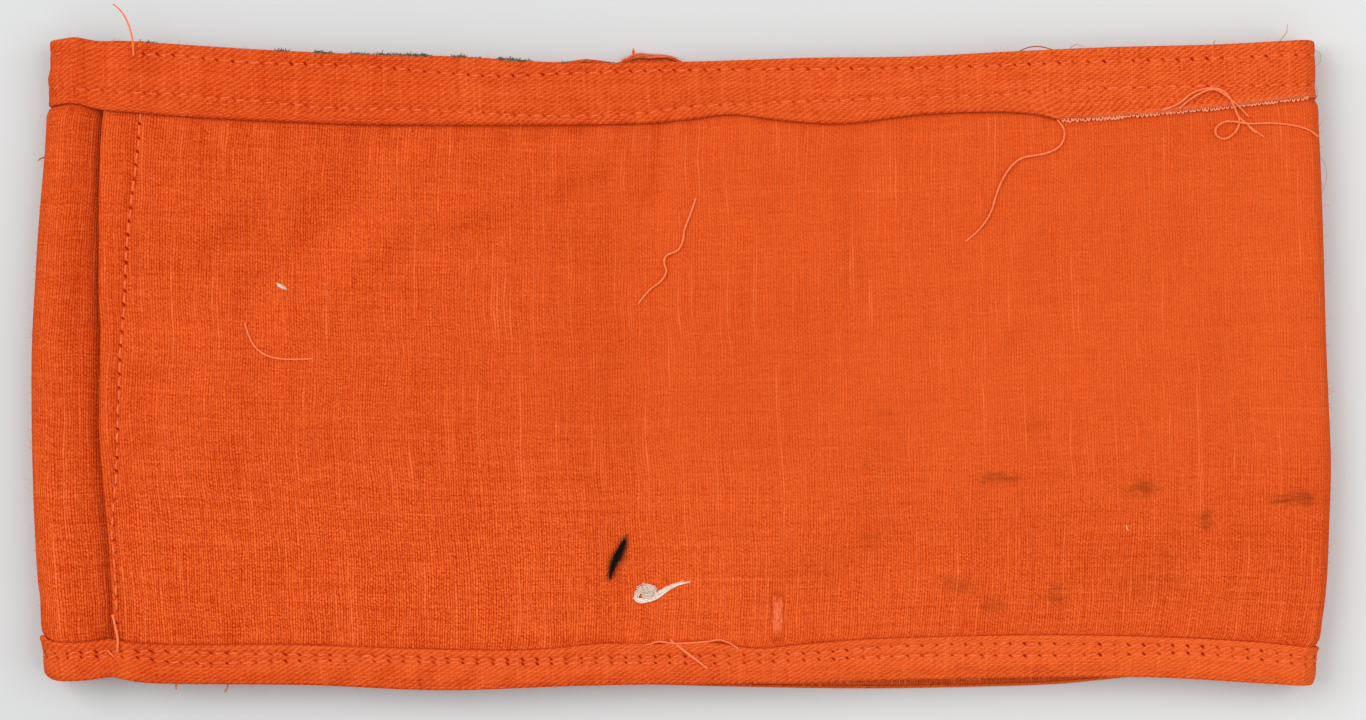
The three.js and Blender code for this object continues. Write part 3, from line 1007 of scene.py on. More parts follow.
    def _holes(self, sheet: NodeSheet, y: Number) -> "Number | float":
        """The needle holes along the rows of stitches, fainter along the top hem's inner row; they are
        painted dark as the shade inside them.
        """
        total: Number | float = 0.0
        for row in self.stitch_rows:
            u, v, _ = sheet.parts(sheet.add("ShaderNodeUVMap", {"uv_map": row}, {}).outputs["UV"])
            nearest = (u + 0.5).floor()
            along = (u - nearest) * STITCH_PITCH + (sheet.speckle(nearest + 9.0) - 0.5) * 0.24
            length = (along - v) / 1.5
            width = (along + v) / 0.8
            distance = sheet.math("SQRT", length * length + width * width)
            size = self.hole_size + sheet.speckle(nearest) * 0.14
            strength = self.hole_strength + sheet.speckle(nearest + 0.5) * 0.62
            if row == "inner row":
                strength = strength * (1 - y.step(0.0, 10.0) * 0.45)
            total = total + (1 - (distance / size).step(0.45, 1.35)) * strength
        return total


STITCH_PITCH = 2.33

# A row's map has this place where the row isn't sewn: between two stitches, and far from them
NOT_SEWN: Place = (0.5, 9.0)

# The start of a row that is sewn all the way along the near layer
LEFT_OF_ALL = -200.0

BODY_TWILL = Twill(
    "body twill",
    TwillSide.WRONG,
    shaded_hollow=(0.415, 0.021, 0.0),
    lit_crown=(0.805, 0.129, 0.0240),
    hole_size=0.34,
    hole_strength=0.62,
    stitch_rows=("join stitches",),
)
HEM_TWILL = Twill(
    "hem twill",
    TwillSide.RIGHT,
    shaded_hollow=(0.425, 0.020, 0.0),
    lit_crown=(0.795, 0.128, 0.0250),
    mean_height=0.45,
    thread_shade=0.76,
    fleck=0.80,
    weft_slubs=0.24,
    warp_slubs=0.14,
    stitch_rows=("outer row", "inner row"),
    raw_edge=True,
)


@dataclass(frozen=True)
class Fibre:
    """Thread or fibre with a slight change of tone along it."""

    name: str
    dark: Colour
    light: Colour
    grain: float = 2.2
    sheen: float = 0.08

    def material(self) -> bpy.types.Material:
        """Builds the material."""
        sheet = NodeSheet(self.name)
        x, y, z = sheet.place_in_mm()
        twist = sheet.noise(sheet.vector(x * self.grain, y * self.grain, z * self.grain), detail=3.0)
        fleck = sheet.noise(sheet.vector(x * 11.0, y * 11.0, z * 11.0), detail=1.0)
        return sheet.surface({
            "Base Color": sheet.mix((twist * 0.7 + fleck * 0.3).step(0.3, 0.7), self.dark, self.light),
            "Roughness": 0.85,
            "Specular IOR Level": 0.1,
            "Sheen Weight": self.sheen,
            "Normal": sheet.bump(fleck, 0.03),
        })


SEWING_THREAD = Fibre("sewing thread", (0.72, 0.085, 0.016), (0.87, 0.185, 0.055))
LOOSE_THREAD = Fibre("loose thread", (0.80, 0.135, 0.036), (0.92, 0.25, 0.095))
PALE_THREAD = Fibre("pale thread", (0.83, 0.19, 0.07), (0.93, 0.36, 0.20))
BLACK_FIBRE = Fibre("black fibre", (0.004, 0.003, 0.003), (0.02, 0.012, 0.01), sheen=0.02)
WHITE_LINT = Fibre("white lint", (0.72, 0.50, 0.36), (0.93, 0.84, 0.75))
BROWN_HAIR = Fibre("brown hair", (0.20, 0.06, 0.025), (0.52, 0.16, 0.07))
OLIVE_FUZZ = Fibre("olive fuzz", (0.060, 0.048, 0.026), (0.24, 0.19, 0.11))


class Strand(NamedTuple):
    """One thread or fibre: its points, and its radius along them, in millimetres."""

    points: Sequence[Vector]
    radius: float
    end_radius: float


def strand_mesh(name: str, strands: Sequence[Strand], smooth: bool, sides: int = 1) -> bpy.types.Object:
    """Makes one mesh of round strands.

    Args:
        name: the piece's name.
        strands: the strands.
        smooth: whether each one is a smooth curve through its points, and not straight between them.
        sides: how finely the round section is divided.

    Returns:
        The finished piece.
    """
    deselect()
    bpy.ops.curve.primitive_nurbs_path_add()
    obj = bpy.context.object
    obj.name = name
    curve = obj.data
    curve.splines.clear()
    for strand in strands:
        spline = curve.splines.new("NURBS" if smooth else "POLY")
        spline.points.add(len(strand.points) - 1)
        last = len(strand.points) - 1
        for index, point in enumerate(strand.points):
            spline.points[index].co = (*(point * MM), 1.0)
            toward_end = ease(index / last, 0.55, 1.0)
            spline.points[index].radius = blend(strand.radius, strand.end_radius, toward_end)
        if smooth:
            spline.order_u = 4
            spline.use_endpoint_u = True
            spline.resolution_u = 3
        spline.use_smooth = True
    curve.bevel_depth = MM
    curve.bevel_resolution = sides
    curve.use_fill_caps = True
    bpy.ops.object.convert(target="MESH")
    obj = bpy.context.object
    bpy.ops.object.shade_smooth()
    return obj


def passing_through(points: Sequence[Vector]) -> list[Vector]:
    """The same course with more points, so that a smooth strand passes through each given one.

    Args:
        points: the points of the course.

    Returns:
        The points, with two more between each two.
    """
    ends = [points[0] * 2 - points[1], *points, points[-1] * 2 - points[-2]]
    found = []
    for before, start, end, after in zip(ends, ends[1:], ends[2:], ends[3:]):
        for share in (0.0, 1 / 3, 2 / 3):
            bend_in, bend_out = (end - before) / 2, (after - start) / 2
            rest = 1 - share
            point = start * (rest * rest * (1 + 2 * share)) + end * (share * share * (3 - 2 * share))
            found.append(point + bend_in * (share * rest * rest) - bend_out * (share * share * rest))
    return found + [points[-1]]


@dataclass
class BandCloth:
    """The loop of cloth between the hems, cut in one piece whose ends lap near the left fold."""

    rows: int = 104
    counts: dict[Stretch, int] = field(default_factory=lambda: {
        Stretch.TUCK: 6,
        Stretch.TURN: 6,
        Stretch.LAP: 18,
        Stretch.NEAR: 210,
        Stretch.RIGHT: 16,
        Stretch.FAR: 64,
        Stretch.LEFT: 18,
        Stretch.GROOVE: 26,
    })

    def build(self) -> bpy.types.Object:
        """Makes the cloth and dresses it."""
        column_stations = stations(self.counts)
        points = [self._column(station) for station in column_stations]
        grid = ClothGrid("band_cloth", len(points), self.rows)
        grid.shape(points)
        along = lengths_along([column[self.rows // 2] for column in points])
        join_start = along[self.counts[Stretch.TUCK] + self.counts[Stretch.TURN]]
        grid.add_map(
            "weave",
            lambda c, r: ((along[c] - join_start) * MM, self._nominal_y(r) * MM),
            first=True,
        )
        on_lap = [station.stretch is Stretch.LAP for station in column_stations]
        grid.add_map("hem edges", lambda c, r: self._from_hem_edges(points[c][r]))
        grid.add_lean_shade(points)
        count_at = join_stitch_counts(points[0])
        grid.add_map(
            "join stitches",
            lambda c, r: self._join_row(points[c][r], on_lap[c], count_at[r]),
        )
        piece = grid.finish(LOOP.cloth, closed=False)
        piece.data.materials.append(BODY_TWILL.material())
        keep(piece, ("band", "join_lap"))
        return piece

    @staticmethod
    def _from_hem_edges(point: Vector) -> Place:
        """How far a point is from the edges of the top and the bottom hem, in metres."""
        return (point.y - TOP_HEM_EDGE.at(point.x)) * MM, (point.y - BOTTOM_HEM_EDGE.at(point.x)) * MM

    def _across(self, row: int) -> float:
        """A row's place across the band, from -1 to 1."""
        return 2 * row / (self.rows - 1) - 1

    def _nominal_y(self, row: int) -> float:
        """A row's distance from the middle of the flat cloth."""
        return self._across(row) * NOMINAL_HALF_WIDTH

    def _column(self, station: Station) -> list[Vector]:
        """The points of one column, from the bottom edge to the top edge."""
        column = []
        for row in range(self.rows):
            footing = LOOP.footing(station, self._across(row))
            y = LOOP.y_at(footing, self._across(row), LOOP.edge_inset)
            column.append(Vector((footing.x, y, footing.z)))
        return column

    @staticmethod
    def _join_row(point: Vector, on_lap: bool, count: float) -> Place:
        """The stitch count and the distance from the join's column of stitches."""
        if not on_lap:
            return NOT_SEWN
        return count, point.x - JOIN_STITCHES.at(point.y)


JOIN_PITCH = 2.2


def join_stitch_counts(column: Sequence[Vector]) -> list[float]:
    """The number of the join's stitches up to each point of a column, from the bottom edge."""
    return [(point.y + NOMINAL_HALF_WIDTH) / JOIN_PITCH for point in column]


class HemPoint(NamedTuple):
    """A point of a hem's profile: in from the armband's edge, and out from the cloth under it."""

    inward: float
    outward: float


@dataclass
class Hem:
    """An edge of the loop turned over onto its outside, its raw edge turned under, and stitched."""

    name: str
    node: str
    at_top: bool
    near_edge: Course
    outer_row: Course
    inner_row: Course
    far_width: float
    far_outer_row: float
    far_inner_row: float
    turn: float
    raw_from: float
    raw_to: float
    ripple_middle: float
    ripple_half: float
    ripple_height: float
    outer_row_start: float
    flat_rows: int = 22
    layer: float = 0.47
    bend: float = 0.3
    raw_step: float = 0.03
    flat_inset: float = 0.36
    edge_reach: float = 0.32
    row_dent: float = 0.13
    row_dent_width: float = 0.42
    counts: dict[Stretch, int] = field(default_factory=lambda: {
        Stretch.NEAR: 330,
        Stretch.RIGHT: 16,
        Stretch.FAR: 110,
        Stretch.LEFT: 16,
    })

    def build(self) -> bpy.types.Object:
        """Makes the hem and dresses it."""
        column_stations = stations(self.counts)
        points = [self.column(station) for station in column_stations]
        rows = len(points[0])
        grid = ClothGrid(self.name, len(points), rows)
        grid.shape(points)
        middle = [self.surface_point(station, self.far_width / 2) for station in column_stations]
        along = lengths_along(middle)
        across = lengths_along(points[len(points) // 3])
        flip = 1 if self.at_top else -1
        grid.add_map("weave", lambda c, r: (along[c] * MM, flip * across[r] * MM), first=True)
        self._add_row_map(grid, "outer row", column_stations, self.outer_distance)
        self._add_row_map(grid, "inner row", column_stations, self.inner_distance)
        raw = [self._raw_edge(station) for station in column_stations]
        grid.add_measure("raw_edge", lambda c, r: raw[c][r])
        grid.add_lean_shade(points)
        piece = grid.finish(LOOP.cloth, closed=True)
        piece.data.materials.append(HEM_TWILL.material())
        keep(piece, (self.node,))
        return piece

    def _add_row_map(
        self,
        grid: ClothGrid,
        name: str,
        column_stations: Sequence[Station],
        distance: Callable[[Station], float],
    ) -> None:
        """Adds the UV map of one row of stitches: the stitch count, and millimetres up from the row.

        Args:
            grid: the hem's grid.
            name: the row's name.
            column_stations: the place of each of the grid's columns round the loop.
            distance: how far the row is in from the armband's edge at a station.
        """
        counts = self.row_counts(column_stations, distance)
        up = -1 if self.at_top else 1
        offsets = [
            [up * (point.inward - distance(station)) for point in self.profile(station)]
            for station in column_stations
        ]
        start_x = self.outer_row_start if name == "outer row" else LEFT_OF_ALL
        skipped = [self._is_unsewn(station, start_x) for station in column_stations]
        grid.add_map(name, lambda c, r: NOT_SEWN if skipped[c] else (counts[c], offsets[c][r]))

    def _is_unsewn(self, station: Station, start_x: float) -> bool:
        """Whether a place of the near layer comes before a row's first stitch."""
        anchor = self._anchor(station)
        return anchor.near > 0.5 and anchor.x < start_x

    def row_counts(
        self, row_stations: Sequence[Station], distance: Callable[[Station], float]
    ) -> list[float]:
        """How many stitches of a row come before each station."""
        line = [self.surface_point(station, distance(station)) for station in row_stations]
        return [length / STITCH_PITCH for length in lengths_along(line)]

    def _outline(self, footing: Footing) -> float:
        """The armband's own edge at a point of the loop."""
        near, far = (NEAR_TOP, FAR_TOP) if self.at_top else (NEAR_BOTTOM, FAR_BOTTOM)
        return blend(far.at(footing.x), near.at(footing.x), footing.near)

    def _anchor(self, station: Station) -> Footing:
        """The cloth under the middle of the hem."""
        side = 1 if self.at_top else -1
        return LOOP.footing(station, side * (1 - self.far_width / 2 / NOMINAL_HALF_WIDTH), bridged=True)

    def _distance(self, station: Station, near_line: Course, far_distance: float) -> float:
        """How far a line of the hem is in from the armband's edge.

        Args:
            station: the place round the loop.
            near_line: the line's course on the near layer.
            far_distance: its mean distance on the far layer.

        Returns:
            The distance, which changes smoothly from one layer's to the other's.
        """
        anchor = self._anchor(station)
        wavy = far_distance + 0.35 * noise.noise(Vector((anchor.x * 0.04, 2.0, far_distance)))
        near_distance = abs(self._outline(Footing(anchor.x, 0.0, 1.0)) - near_line.at(anchor.x))
        if station.stretch is not Stretch.FAR:
            return near_distance
        return blend(near_distance, wavy, ease(min(station.share, 1 - station.share), 0.0, 0.08))

    def width(self, station: Station) -> float:
        """The hem's width."""
        return self._distance(station, self.near_edge, self.far_width)

    def outer_distance(self, station: Station) -> float:
        """How far the outer row of stitches is in from the armband's edge."""
        return self._distance(station, self.outer_row, self.far_outer_row)

    def inner_distance(self, station: Station) -> float:
        """How far the inner row of stitches is in from the armband's edge."""
        return self._distance(station, self.inner_row, self.far_inner_row)

    def _raw_share(self, station: Station) -> float:
        """How far the hem's edge is left raw here, instead of turned under."""
        return ease(self._anchor(station).x, self.raw_from, self.raw_to)

    def _raw_edge(self, station: Station) -> list[float]:
        """How near each point of the profile is to a raw edge."""
        raw, width = self._raw_share(station), self.width(station)
        return [raw * (1 - ease(width - point.inward, 0.10, 0.60)) for point in self.profile(station)]

    def _ripple(self, station: Station, inward: float) -> float:
        """Slanting ripples where the hem is a little full."""
        anchor = self._anchor(station)
        part = hump(anchor.x - self.ripple_middle, self.ripple_half) * anchor.near
        wander = noise.noise(Vector((anchor.x * 0.06, inward * 0.1, 5.0)))
        swing = (anchor.x - inward * 0.9) * 0.98 + 1.4 * wander
        small = noise.noise(Vector((anchor.x * 0.30, inward * 0.16, 8.0)))
        return self.ripple_height * part * math.sin(swing) + 0.035 * small

    def outward_at(self, station: Station, inward: float) -> float:
        """How far the hem's top layer stands out from the cloth under it.

        Args:
            station: the place round the loop.
            inward: the distance in from the armband's edge.

        Returns:
            The distance: more over the turned-under end, and less along the rows of stitches.
        """
        width = self.width(station)
        doubled = ease(inward, width - self.turn - 1.8, width - self.turn + 0.4)
        outward = self.layer * (1 + doubled)
        thinner = ease(self._anchor(station).x, self.raw_from - 5.0, self.raw_to + 8.0)
        outward = blend(outward, self.layer, thinner)
        for distance in (self.outer_distance(station), self.inner_distance(station)):
            outward -= self.row_dent * math.exp(-(((inward - distance) / self.row_dent_width) ** 2))
        return outward + self._ripple(station, inward)

    def profile(self, station: Station) -> list[HemPoint]:
        """The hem's cloth in section, from its turned-under end, over its top and round the edge.

        Where the edge is raw, the turned-under end shrinks into a short flat strip.

        Args:
            station: the place round the loop.

        Returns:
            The points of the section, in order.
        """
        width = self.width(station)
        raw = self._raw_share(station)
        lower, upper = self.layer, 2 * self.layer
        bend_from = width - self.bend
        turned = [HemPoint(blend(width - self.turn, bend_from, step / 5), lower) for step in range(6)]
        for step in range(1, 6):
            angle = math.pi * (step / 6 - 0.5)
            outward = (lower + upper) / 2 + self.layer / 2 * math.sin(angle)
            turned.append(HemPoint(bend_from + self.bend * math.cos(angle), outward))
        path = []
        for step, point in enumerate(turned):
            inward = blend(point.inward, width - self.raw_step * step, raw)
            path.append(HemPoint(inward, blend(point.outward, lower, raw)))
        for step in range(self.flat_rows):
            share = step / (self.flat_rows - 1)
            inward = blend(width - self.flat_inset, self.edge_reach, share)
            path.append(HemPoint(inward, self.outward_at(station, inward)))
        high = path[-1].outward
        for step in range(1, 7):
            angle = math.pi * step / 6
            inward = self.edge_reach * (1 - math.sin(angle))
            path.append(HemPoint(inward, high * (1 + math.cos(angle)) / 2))
        return path

    def base_point(self, station: Station, inward: float, outward: float) -> Vector:
        """A point at a place of the hem, some way out from the cloth under it.

        Args:
            station: the place round the loop.
            inward: the distance in from the armband's edge.
            outward: the distance out from the middle surface of the band's cloth.

        Returns:
            The point, in millimetres.
        """
        side = 1 if self.at_top else -1
        footing = LOOP.footing(station, side * (1 - inward / NOMINAL_HALF_WIDTH), bridged=True)
        out_x, out_z = self._outwards(station)
        edge = self._outline(footing)
        return Vector((footing.x + out_x * outward, edge - side * inward, footing.z + out_z * outward))

    def _outwards(self, station: Station) -> Place:
        """The direction out from the loop's section at a station."""
        if station.stretch is Stretch.NEAR:
            return 0.0, 1.0
        if station.stretch is Stretch.FAR:
            return 0.0, -1.0
        on_left = station.stretch is Stretch.LEFT
        angle = math.pi * (1 - station.share if on_left else station.share)
        across = -math.sin(angle) if on_left else math.sin(angle)
        return across, math.cos(angle)

    def column(self, station: Station) -> list[Vector]:
        """The points of one column of the hem."""
        return [self.base_point(station, point.inward, point.outward) for point in self.profile(station)]

    def surface_point(self, station: Station, inward: float, lift: float = 0.0) -> Vector:
        """A point on the hem's outer face."""
        outward = self.outward_at(station, inward) + LOOP.cloth / 2 + lift
        return self.base_point(station, inward, outward)


TOP_HEM = Hem(
    name="top_hem_cloth",
    node="top_hem",
    at_top=True,
    near_edge=TOP_HEM_EDGE,
    outer_row=TOP_OUTER_ROW,
    inner_row=TOP_INNER_ROW,
    far_width=9.8,
    far_outer_row=2.0,
    far_inner_row=7.6,
    turn=4.4,
    raw_from=58.8,
    raw_to=60.6,
    ripple_middle=-11.0,
    ripple_half=24.0,
    ripple_height=0.16,
    outer_row_start=-86.1,
)
BOTTOM_HEM = Hem(
    name="bottom_hem_cloth",
    node="bottom_hem",
    at_top=False,
    near_edge=BOTTOM_HEM_EDGE,
    outer_row=BOTTOM_OUTER_ROW,
    inner_row=BOTTOM_INNER_ROW,
    far_width=6.1,
    far_outer_row=3.7,
    far_inner_row=4.9,
    turn=4.6,
    raw_from=200.0,
    raw_to=201.0,
    ripple_middle=-40.0,
    ripple_half=45.0,
    ripple_height=0.08,
    outer_row_start=-100.0,
    flat_rows=16,
)


@dataclass
class StitchRows:
    """The rows of machine stitches along a hem, each stitch a short piece of thread."""

    hem: Hem
    radius: float = 0.120
    bow: float = 0.03
    dive: float = 0.24
    rise: float = 0.13
    steps: int = 5

    def build(self) -> bpy.types.Object:
        """Makes the rows of one hem and dresses them."""
        draws = random.Random(self.hem.name)
        strands = []
        fine = stations({stretch: count * 2 for stretch, count in self.hem.counts.items()})
        for distance, start_x in (
            (self.hem.outer_distance, self.hem.outer_row_start),
            (self.hem.inner_distance, LEFT_OF_ALL),
        ):
            counts = self.hem.row_counts(fine, distance)
            line = [(count, station) for count, station in zip(counts, fine)]
            for number in range(int(counts[-1])):
                strand = self._stitch(line, counts, number, distance, start_x, draws)
                if strand:
                    strands.append(strand)
        piece = strand_mesh(self.hem.node + "_stitches", strands, smooth=False)
        piece.data.materials.append(SEWING_THREAD.material())
        keep(piece)
        return piece

    def _stitch(
        self,
        line: Sequence[tuple[float, Station]],
        counts: Sequence[float],
        number: int,
        distance: Callable[[Station], float],
        start_x: float,
        draws: random.Random,
    ) -> Optional[Strand]:
        """One stitch of a row.

        Args:
            line: the stitch count at each station, with the station.
            counts: the stitch counts alone.
            number: how many stitches of the row come before this one.
            distance: how far the row is in from the armband's edge at a station.
            start_x: where the row starts on the near layer.
            draws: the random draws that vary the stitch.

        Returns:
            The piece of thread, or nothing before the row starts.
        """
        slack = draws.uniform(0.6, 1.25)
        lean = draws.uniform(-0.08, 0.08)
        begin, end = number + draws.uniform(0.10, 0.18), number + draws.uniform(0.82, 0.90)
        up = -1 if self.hem.at_top else 1
        points = []
        for step in range(self.steps):
            share = step / (self.steps - 1)
            wanted = blend(begin, end, share)
            index = min(max(bisect_right(counts, wanted) - 1, 0), len(line) - 2)
            part = (wanted - counts[index]) / max(counts[index + 1] - counts[index], 1e-9)
            here, there = line[index][1], line[index + 1][1]
            sideways = up * self.rise * (2 * share - 1) + lean * math.sin(math.pi * share)
            lift = self.bow * slack - self.dive * (2 * share - 1) ** 4
            first = self.hem.surface_point(here, distance(here) + sideways, lift)
            second = self.hem.surface_point(there, distance(there) + sideways, lift)
            points.append(first.lerp(second, part))
        on_near = line[min(bisect_right(counts, begin), len(line) - 1)][1].stretch is Stretch.NEAR
        if on_near and points[0].x < start_x:
            return None
        radius = self.radius * draws.uniform(0.85, 1.1)
        return Strand(points, radius, radius * 0.9)


@dataclass
class JoinStitches:
    """The column of stitches that holds the lapped join."""

    first: int = 5
    last: int = 41
    radius: float = 0.185
    bow: float = 0.11
    dive: float = 0.26
    steps: int = 5

    def build(self) -> bpy.types.Object:
        """Makes the column and dresses it."""
        draws = random.Random(5)
        strands = []
        for number in range(self.first, self.last):
            begin, end = number + draws.uniform(0.12, 0.22), number + draws.uniform(0.78, 0.90)
            slack = draws.uniform(0.6, 1.2)
            lean = draws.uniform(-0.08, 0.08)
            points = []
            for step in range(self.steps):
                share = step / (self.steps - 1)
                y = blend(begin, end, share) * JOIN_PITCH - NOMINAL_HALF_WIDTH
                x = JOIN_STITCHES.at(y) + lean * math.sin(math.pi * share)
                lift = self.bow * slack - self.dive * (2 * share - 1) ** 4
                points.append(Vector((x, y, near_top(x, y) + lift)))
            strands.append(Strand(points, self.radius, self.radius * 0.9))
        piece = strand_mesh("join_stitches", strands, smooth=False)
        piece.data.materials.append(SEWING_THREAD.material())
        keep(piece)
        return piece


def near_top(x: float, y: float) -> float:
    """The height of the near layer's upper face, off the hems."""
    return LOOP.near_height(x, y) + LOOP.cloth / 2


def top_height(x: float, y: float) -> float:
    """The height of the armband's upper face, on or off the hems.

    Args:
        x: the place along the loop.
        y: the place across the band.

    Returns:
        The height, in millimetres.
    """
    for hem in (TOP_HEM, BOTTOM_HEM):
        edge = NEAR_TOP.at(x) if hem.at_top else NEAR_BOTTOM.at(x)
        inward = edge - y if hem.at_top else y - edge
        width = abs(edge - hem.near_edge.at(x))
        if -0.5 < inward < width:
            share = (x - LOOP.left_end(y)) / (LOOP.right_end(y) - LOOP.left_end(y))
            station = Station(Stretch.NEAR, min(max(share, 0.0), 1.0))
            return hem.surface_point(station, max(inward, 0.3)).z
    return near_top(x, y)


class LooseEnd(NamedTuple):
    """A thread lying on the armband: its course from above, and how far it lifts on the way."""

    places: tuple[Place, ...]
    radius: float
    lift: float


LOOSE_ENDS = (
    LooseEnd(((2.4, 26.2), (1.5, 23.5), (0.6, 21.2), (0.4, 19.6), (-0.4, 18.0), (-2.2, 17.2), (-2.6, 16.0),
              (-2.2, 14.6), (-3.2, 13.0), (-4.5, 12.1), (-5.9, 10.6), (-6.7, 9.5)), 0.16, 0.25),
    LooseEnd(((59.3, 38.6), (60.3, 37.2), (60.4, 35.8), (59.8, 34.5), (58.5, 33.6), (56.4, 33.0),
              (54.0, 32.6), (52.2, 31.4), (50.6, 29.0), (49.6, 26.4), (48.8, 23.8), (47.0, 21.2),
              (44.8, 19.3)), 0.165, 0.3),
    LooseEnd(((75.8, 40.0), (78.5, 41.1), (80.6, 42.8), (83.7, 43.5), (85.8, 42.7), (86.9, 40.9),
              (87.7, 39.3), (88.4, 38.5), (90.3, 36.9), (91.9, 35.8)), 0.16, 0.35),
    LooseEnd(((78.5, 40.3), (80.0, 41.6), (82.2, 42.9), (84.3, 43.2), (86.9, 41.4), (88.5, 40.0),
              (89.5, 39.0)), 0.15, 0.45),
    LooseEnd(((87.5, 39.6), (88.0, 38.5), (87.7, 37.2), (86.9, 36.2), (85.6, 35.5), (84.4, 36.0),
              (84.2, 37.2), (85.6, 38.2), (87.4, 38.2), (89.5, 37.9), (92.7, 38.0), (96.3, 37.7),
              (99.0, 36.9), (100.4, 35.9)), 0.16, 0.45),
    LooseEnd(((91.0, 36.5), (90.2, 36.7), (89.4, 37.6)), 0.14, 0.3),
    LooseEnd(((-68.7, 6.5), (-68.1, 4.7), (-67.2, 3.0), (-65.7, 1.7), (-63.8, 1.0), (-61.2, 0.8),
              (-58.0, 0.9)), 0.15, 0.15),
    LooseEnd(((-12.0, -44.1), (-8.0, -44.1), (-5.4, -44.2), (-3.5, -43.6), (-0.6, -43.9), (4.2, -43.6),
              (6.1, -43.3), (7.8, -43.9), (9.1, -44.7)), 0.15, 0.8),
    LooseEnd(((-1.6, -43.4), (0.6, -45.0), (2.6, -46.5), (4.2, -47.8)), 0.20, 0.35),
    LooseEnd(((-89.4, -39.4), (-88.9, -41.2), (-88.5, -42.9), (-88.4, -44.2), (-88.5, -45.2)), 0.20, 0.3),
    LooseEnd(((-90.2, -45.0), (-89.7, -45.5), (-89.2, -46.0)), 0.14, 0.1),
)


@dataclass
class LooseThreads:
    """The loose ends of thread that lie on the near layer, and one that stands off its top edge."""

    def build(self) -> bpy.types.Object:
        """Makes the threads and dresses them."""
        strands = [self._lying(end) for end in LOOSE_ENDS]
        strands.append(self._standing())
        piece = strand_mesh("loose_threads", strands, smooth=True, sides=2)
        piece.data.materials.append(LOOSE_THREAD.material())
        keep(piece)
        return piece

    @staticmethod
    def _lying(end: LooseEnd) -> Strand:
        """A thread on the cloth, lifted a little on its way."""
        last = len(end.places) - 1
        points = []
        for index, (x, y) in enumerate(end.places):
            lift = end.radius + end.lift * math.sin(math.pi * index / last)
            points.append(Vector((x, y, top_height(x, y) + lift)))
        return Strand(passing_through(points), end.radius, end.radius * 0.85)

    @staticmethod
    def _standing() -> Strand:
        """The end of the outer row's thread, which curls up past the top edge."""
        places = (
            (-86.0, 48.6, 8.9), (-86.1, 50.2, 9.0), (-86.2, 51.6, 8.8), (-87.0, 54.0, 8.2),
            (-88.2, 56.0, 7.4), (-89.6, 56.9, 6.8),
        )
        return Strand([Vector(place) for place in places], radius=0.15, end_radius=0.10)


@dataclass
class SelvedgeLoops:
    """The raw edge of the top hem on the right, with its fine loops of weft."""

    start: float = 60.2
    end: float = 98.6
    pitch: float = 0.62
    radius: float = 0.125

    def build(self) -> bpy.types.Object:
        """Makes the loops and dresses them."""
        draws = random.Random(11)
        strands = []
        x = self.start
        while x < self.end:
            strands.append(self._loop(x, draws))
            x += self.pitch * draws.uniform(0.75, 1.25)
        piece = strand_mesh("selvedge_loops", strands, smooth=True)
        piece.data.materials.append(PALE_THREAD.material())
        keep(piece)
        return piece

    def _loop(self, x: float, draws: random.Random) -> Strand:
        """One loop of weft, out of the hem's edge and back.

        Args:
            x: the loop's middle.
            draws: the random draws that vary it.

        Returns:
            The loop.
        """
        width = self.pitch * draws.uniform(0.5, 0.9)
        drop = draws.uniform(0.25, 0.62)
        height = near_top(x, TOP_HEM_EDGE.at(x)) + LOOP.cloth * 0.9
        points = []
        for across, down in ((-0.5, -0.25), (-0.45, 0.5), (0.0, 1.0), (0.45, 0.5), (0.5, -0.25)):
            place = x + across * width
            lift = 0.12 * (1 - abs(down)) + draws.uniform(-0.04, 0.04)
            points.append(Vector((place, TOP_HEM_EDGE.at(place) - down * drop, height + lift - 0.12)))
        return Strand(points, self.radius, self.radius)


@dataclass
class Tuft:
    """A small bundle of loose fibres along a course from above."""

    name: str
    fibre: Fibre
    places: tuple[Place, ...]
    count: int
    spread: float
    radius: float
    curl: float
    seed: int
    level: Optional[float] = None

    def build(self) -> bpy.types.Object:
        """Makes the tuft and dresses it."""
        draws = random.Random(self.seed)
        course = []
        for x, y in self.places:
            level = top_height(x, y) if self.level is None else self.level
            course.append(Vector((x, y, level)))
        strands = [self._fibre(course, draws) for _ in range(self.count)]
        piece = strand_mesh(self.name, strands, smooth=True)
        piece.data.materials.append(self.fibre.material())
        keep(piece)
        return piece

    def _fibre(self, course: Sequence[Vector], draws: random.Random) -> Strand:
        """One fibre that follows part of the course and strays from it.

        Args:
            course: the tuft's course over the cloth.
            draws: the random draws that vary the fibre.

        Returns:
            The fibre.
        """
        side = self._stray(self.spread, draws)
        start = draws.uniform(0.0, 0.35)
        end = draws.uniform(0.6, 1.0)
        points = []
        for step in range(7):
            share = blend(start, end, step / 6) * (len(course) - 1)
            index = min(int(share), len(course) - 2)
            point = course[index].lerp(course[index + 1], share - index)
            stray = self._stray(self.curl, draws)
            points.append(point + side * math.sin(math.pi * (0.15 + 0.7 * step / 6)) + stray)
        return Strand(points, self.radius, self.radius * 0.5)

    @staticmethod
    def _stray(distance: float, draws: random.Random) -> Vector:
        """A random step off the course, never down into the cloth."""
        return Vector((draws.gauss(0, distance), draws.gauss(0, distance), abs(draws.gauss(0, distance))))


